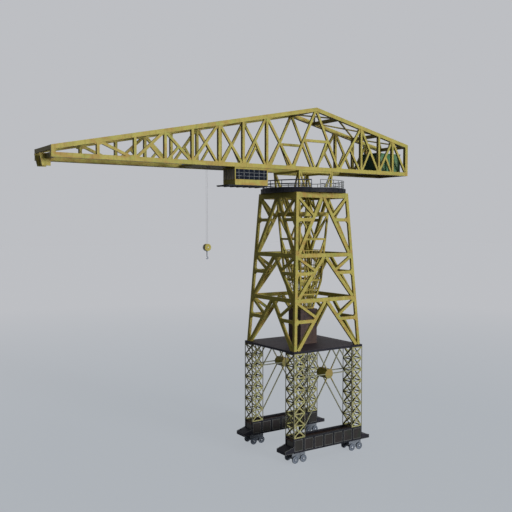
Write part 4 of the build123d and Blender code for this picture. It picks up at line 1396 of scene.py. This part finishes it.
class CRANE_OT_hook_block(bpy.types.Operator):
    """Builds the hook block with its cheeks, sheaves and pins, and the forged hook"""

    bl_idname = "crane.hook_block"
    bl_label = "Hook block"

    rivets = 8
    rivet_circle = 25 * MM
    rivet_sink = 1.5 * MM
    rivet_size = 1.1
    pin = ((0, -2), (7, -2), (7, 1.5), (5.5, 3), (0, 3))
    groove = ((8, -5.5), (33.5, -5.5), (29.5, -1), (29.5, 1), (33.5, 5.5), (8, 5.5))
    drum = 27.5 * MM
    drum_inset = 4 * MM
    shank = (14 * MM, 3 * MM)
    bend = 12 * MM
    bar = 5 * MM
    neck = 4.2 * MM
    hook_steps = 28
    hook_sweep = math.radians(262)
    # Along the bend, as shares of the bar: its root, what the belly adds and what the tip loses
    root, belly, tip = 0.8, 0.22, 0.45
    belly_end = 0.8
    nut = mm((0, 0), (7.5, 0), (8.5, 1.5), (8.5, 8), (7, 10), (0, 10))
    nut_drop = 12 * MM

    def execute(self, context):
        self.block()
        self.hook()
        return {"FINISHED"}

    def block(self):
        centre, half = measure("hook_block")
        rim = half.z / MM
        cheek = (
            (0, -5), (rim - 2, -5), (rim - 0.5, -4), (rim - 0.5, -1.5), (rim - 2, -0.5), (rim - 7, -0.5),
            (rim - 9, -1.5), (16, -1.5), (13, 0), (0, 0),
        )
        shape = Shape()
        for side in SIDES:
            outer = side * half.y
            shape.wheel(cheek, centre, outer, side, sides=48)
            for k in range(self.rivets):
                x, z = polar(2 * math.pi * k / self.rivets, self.rivet_circle)
                spot = centre + Vector((x, outer - side * self.rivet_sink, z))
                shape.rivet(spot, (0, side, 0), self.rivet_size)
            shape.mark = 1
            shape.wheel(self.pin, centre, outer, side, sides=20)
            shape.mark = 0
        shape.mark = 1
        for y in fall_places():
            shape.wheel(self.groove, centre, y, 1, sides=48, closed=True)
        shape.mark = 0
        shape.rod(self.drum, half.y - self.drum_inset, centre, sides=36)
        shape.done("hook_block_cheeks", "hook", "crane_paint", ("crane_paint", "worn_steel"), "hook_block")

    def hook(self):
        """The forged hook: its shank, its bowl that thins out to the tip, and its nut."""
        low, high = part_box("hook")
        x = high.x - self.bend - self.bar
        eye = Vector((x, 0, low.z + self.bend + self.bar))
        crown = eye.z + self.bend
        path = [Vector((x, 0, z)) for z in (high.z, crown + self.shank[0], crown + self.shank[1])]
        radii = [self.bar, self.bar, self.neck]
        for k in range(self.hook_steps + 1):
            share = k / self.hook_steps
            across, up = polar(math.pi / 2 - share * self.hook_sweep, self.bend)
            path.append(eye + Vector((across, 0, up)))
            swell = math.sin(math.pi * min(1, share / self.belly_end))
            radii.append(self.bar * (self.root + self.belly * swell - self.tip * share**3))
        shape = Shape()
        shape.tube(path, radii, sides=16)
        shape.lathe(self.nut, (x, 0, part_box("hook_block")[0].z - self.nut_drop), UP, sides=24)
        shape.done("forged_hook", "hook", "wheel_paint", replaces="hook")


class CRANE_OT_stage(bpy.types.Operator):
    """Sets up the camera, the light, the floor and the backdrop"""

    bl_idname = "crane.stage"
    bl_label = "Stage"

    sensor = 36
    clip_end = 400
    floor_reach = 90.0
    near_reach = 3.0
    far_reach = 16.0
    glow_share = 0.88
    dim = (0.08, 0.082, 0.085)
    sun_height = math.radians(5)
    sun_heading = math.radians(14)
    sun_spread = math.radians(20)

    def execute(self, context):
        scene = context.scene
        s = scene.crane_stage
        camera = bpy.data.objects.new("camera", bpy.data.cameras.new("camera"))
        camera.data.lens = s.camera_lens
        camera.data.sensor_width = self.sensor
        camera.data.clip_end = self.clip_end
        camera.location = s.camera_place
        camera.rotation_euler = (math.pi / 2 + s.camera_tilt, 0, s.camera_heading)
        scene.collection.objects.link(camera)
        scene.camera = camera
        scene.view_settings.view_transform = "Standard"
        self.lights(scene, s)
        self.floor(scene, s)
        return {"FINISHED"}

    def lights(self, scene, s):
        """One soft key from the right front, and a weak even fill."""
        sun = bpy.data.lights.new("key", "SUN")
        sun.energy = s.sun_strength
        sun.angle = self.sun_spread
        key = bpy.data.objects.new("key", sun)
        key.rotation_euler = (math.pi / 2 - self.sun_height, 0, self.sun_heading)
        scene.collection.objects.link(key)
        scene.world = bpy.data.worlds.new("studio")
        world = Tree(scene.world)
        sky = world.node("ShaderNodeBackground", None, {"Color": shade(s.sky_colour)})
        even = {"Color": (1, 1, 1, 1), "Strength": s.fill_strength}
        fill = world.node("ShaderNodeBackground", None, even)
        either = world.node("ShaderNodeMixShader", None, {0: world.shown(), 1: fill, 2: sky})
        world.node("ShaderNodeOutputWorld", None, {"Surface": either})

    def floor(self, scene, s):
        """A floor that is seen pale, keeps the crane's shadow, and throws little light back."""
        finish = Finish("floor")
        light = s.sun_strength * math.sin(self.sun_height) / math.pi + s.fill_strength
        away = finish.node(
            "ShaderNodeVectorMath", {"operation": "LENGTH"}, {0: finish.place}, output="Value")
        far = finish.ramp(away * (1 / self.far_reach), self.near_reach / self.far_reach, 1.0)
        tone = finish.blend(far, s.floor_colour, s.sky_colour)
        lit = finish.blend(1.0, tone, (1 / light, 1 / light, 1 / light), "MULTIPLY")
        painted = finish.node("ShaderNodeBsdfDiffuse", None, {"Color": lit})
        glow = finish.node("ShaderNodeEmission", None, {"Color": tone})
        pale = finish.node("ShaderNodeMixShader", None, {0: self.glow_share, 1: painted, 2: glow})
        dim = finish.node("ShaderNodeBsdfDiffuse", None, {"Color": shade(self.dim)})
        either = finish.node("ShaderNodeMixShader", None, {0: finish.shown(), 1: dim, 2: pale})
        finish.node("ShaderNodeOutputMaterial", None, {"Surface": either})
        reach = self.floor_reach
        ground = [(-reach, -reach, 0), (reach, -reach, 0), (reach, reach, 0), (-reach, reach, 0)]
        mesh = bpy.data.meshes.new("floor")
        mesh.from_pydata(ground, [], [(0, 1, 2, 3)])
        mesh.materials.append(finish.material)
        floor = bpy.data.objects.new("floor", mesh)
        scene.collection.objects.link(floor)


# The add-on, with its steps in the order in which they run

STEPS = (
    CRANE_OT_stage,
    CRANE_OT_finishes,
    CRANE_OT_travel_wheels,
    CRANE_OT_legs,
    CRANE_OT_bearing_ring,
    CRANE_OT_guard_rail,
    CRANE_OT_jib_joints,
    CRANE_OT_jib_rivets,
    CRANE_OT_tower_rivets,
    CRANE_OT_column_lacing,
    CRANE_OT_sills,
    CRANE_OT_machine_box,
    CRANE_OT_winch_house,
    CRANE_OT_cab,
    CRANE_OT_trolley,
    CRANE_OT_falls,
    CRANE_OT_hook_block,
)
GROUPS = (("crane_paints", CranePaints), ("crane_fittings", CraneFittings), ("crane_stage", CraneStage))


class CRANE_PT_panel(bpy.types.Panel):
    """The crane's pieces and settings"""

    bl_label = "Crane"
    bl_idname = "CRANE_PT_panel"
    bl_space_type = "VIEW_3D"
    bl_region_type = "UI"
    bl_category = "Crane"

    def draw(self, context):
        for step in STEPS:
            self.layout.operator(step.bl_idname)
        for name, group in GROUPS:
            box = self.layout.box()
            for setting in group.__annotations__:
                box.prop(getattr(context.scene, name), setting)


def register():
    for name, group in GROUPS:
        bpy.utils.register_class(group)
        setattr(bpy.types.Scene, name, bpy.props.PointerProperty(type=group))
    for step in (*STEPS, CRANE_PT_panel):
        bpy.utils.register_class(step)


def unregister():
    for step in (*STEPS, CRANE_PT_panel):
        bpy.utils.unregister_class(step)
    for name, group in GROUPS:
        delattr(bpy.types.Scene, name)
        bpy.utils.unregister_class(group)


def main():
    register()
    for step in STEPS:
        getattr(bpy.ops.crane, step.bl_idname.split(".")[1])()


if __name__ == "__main__":
    main()
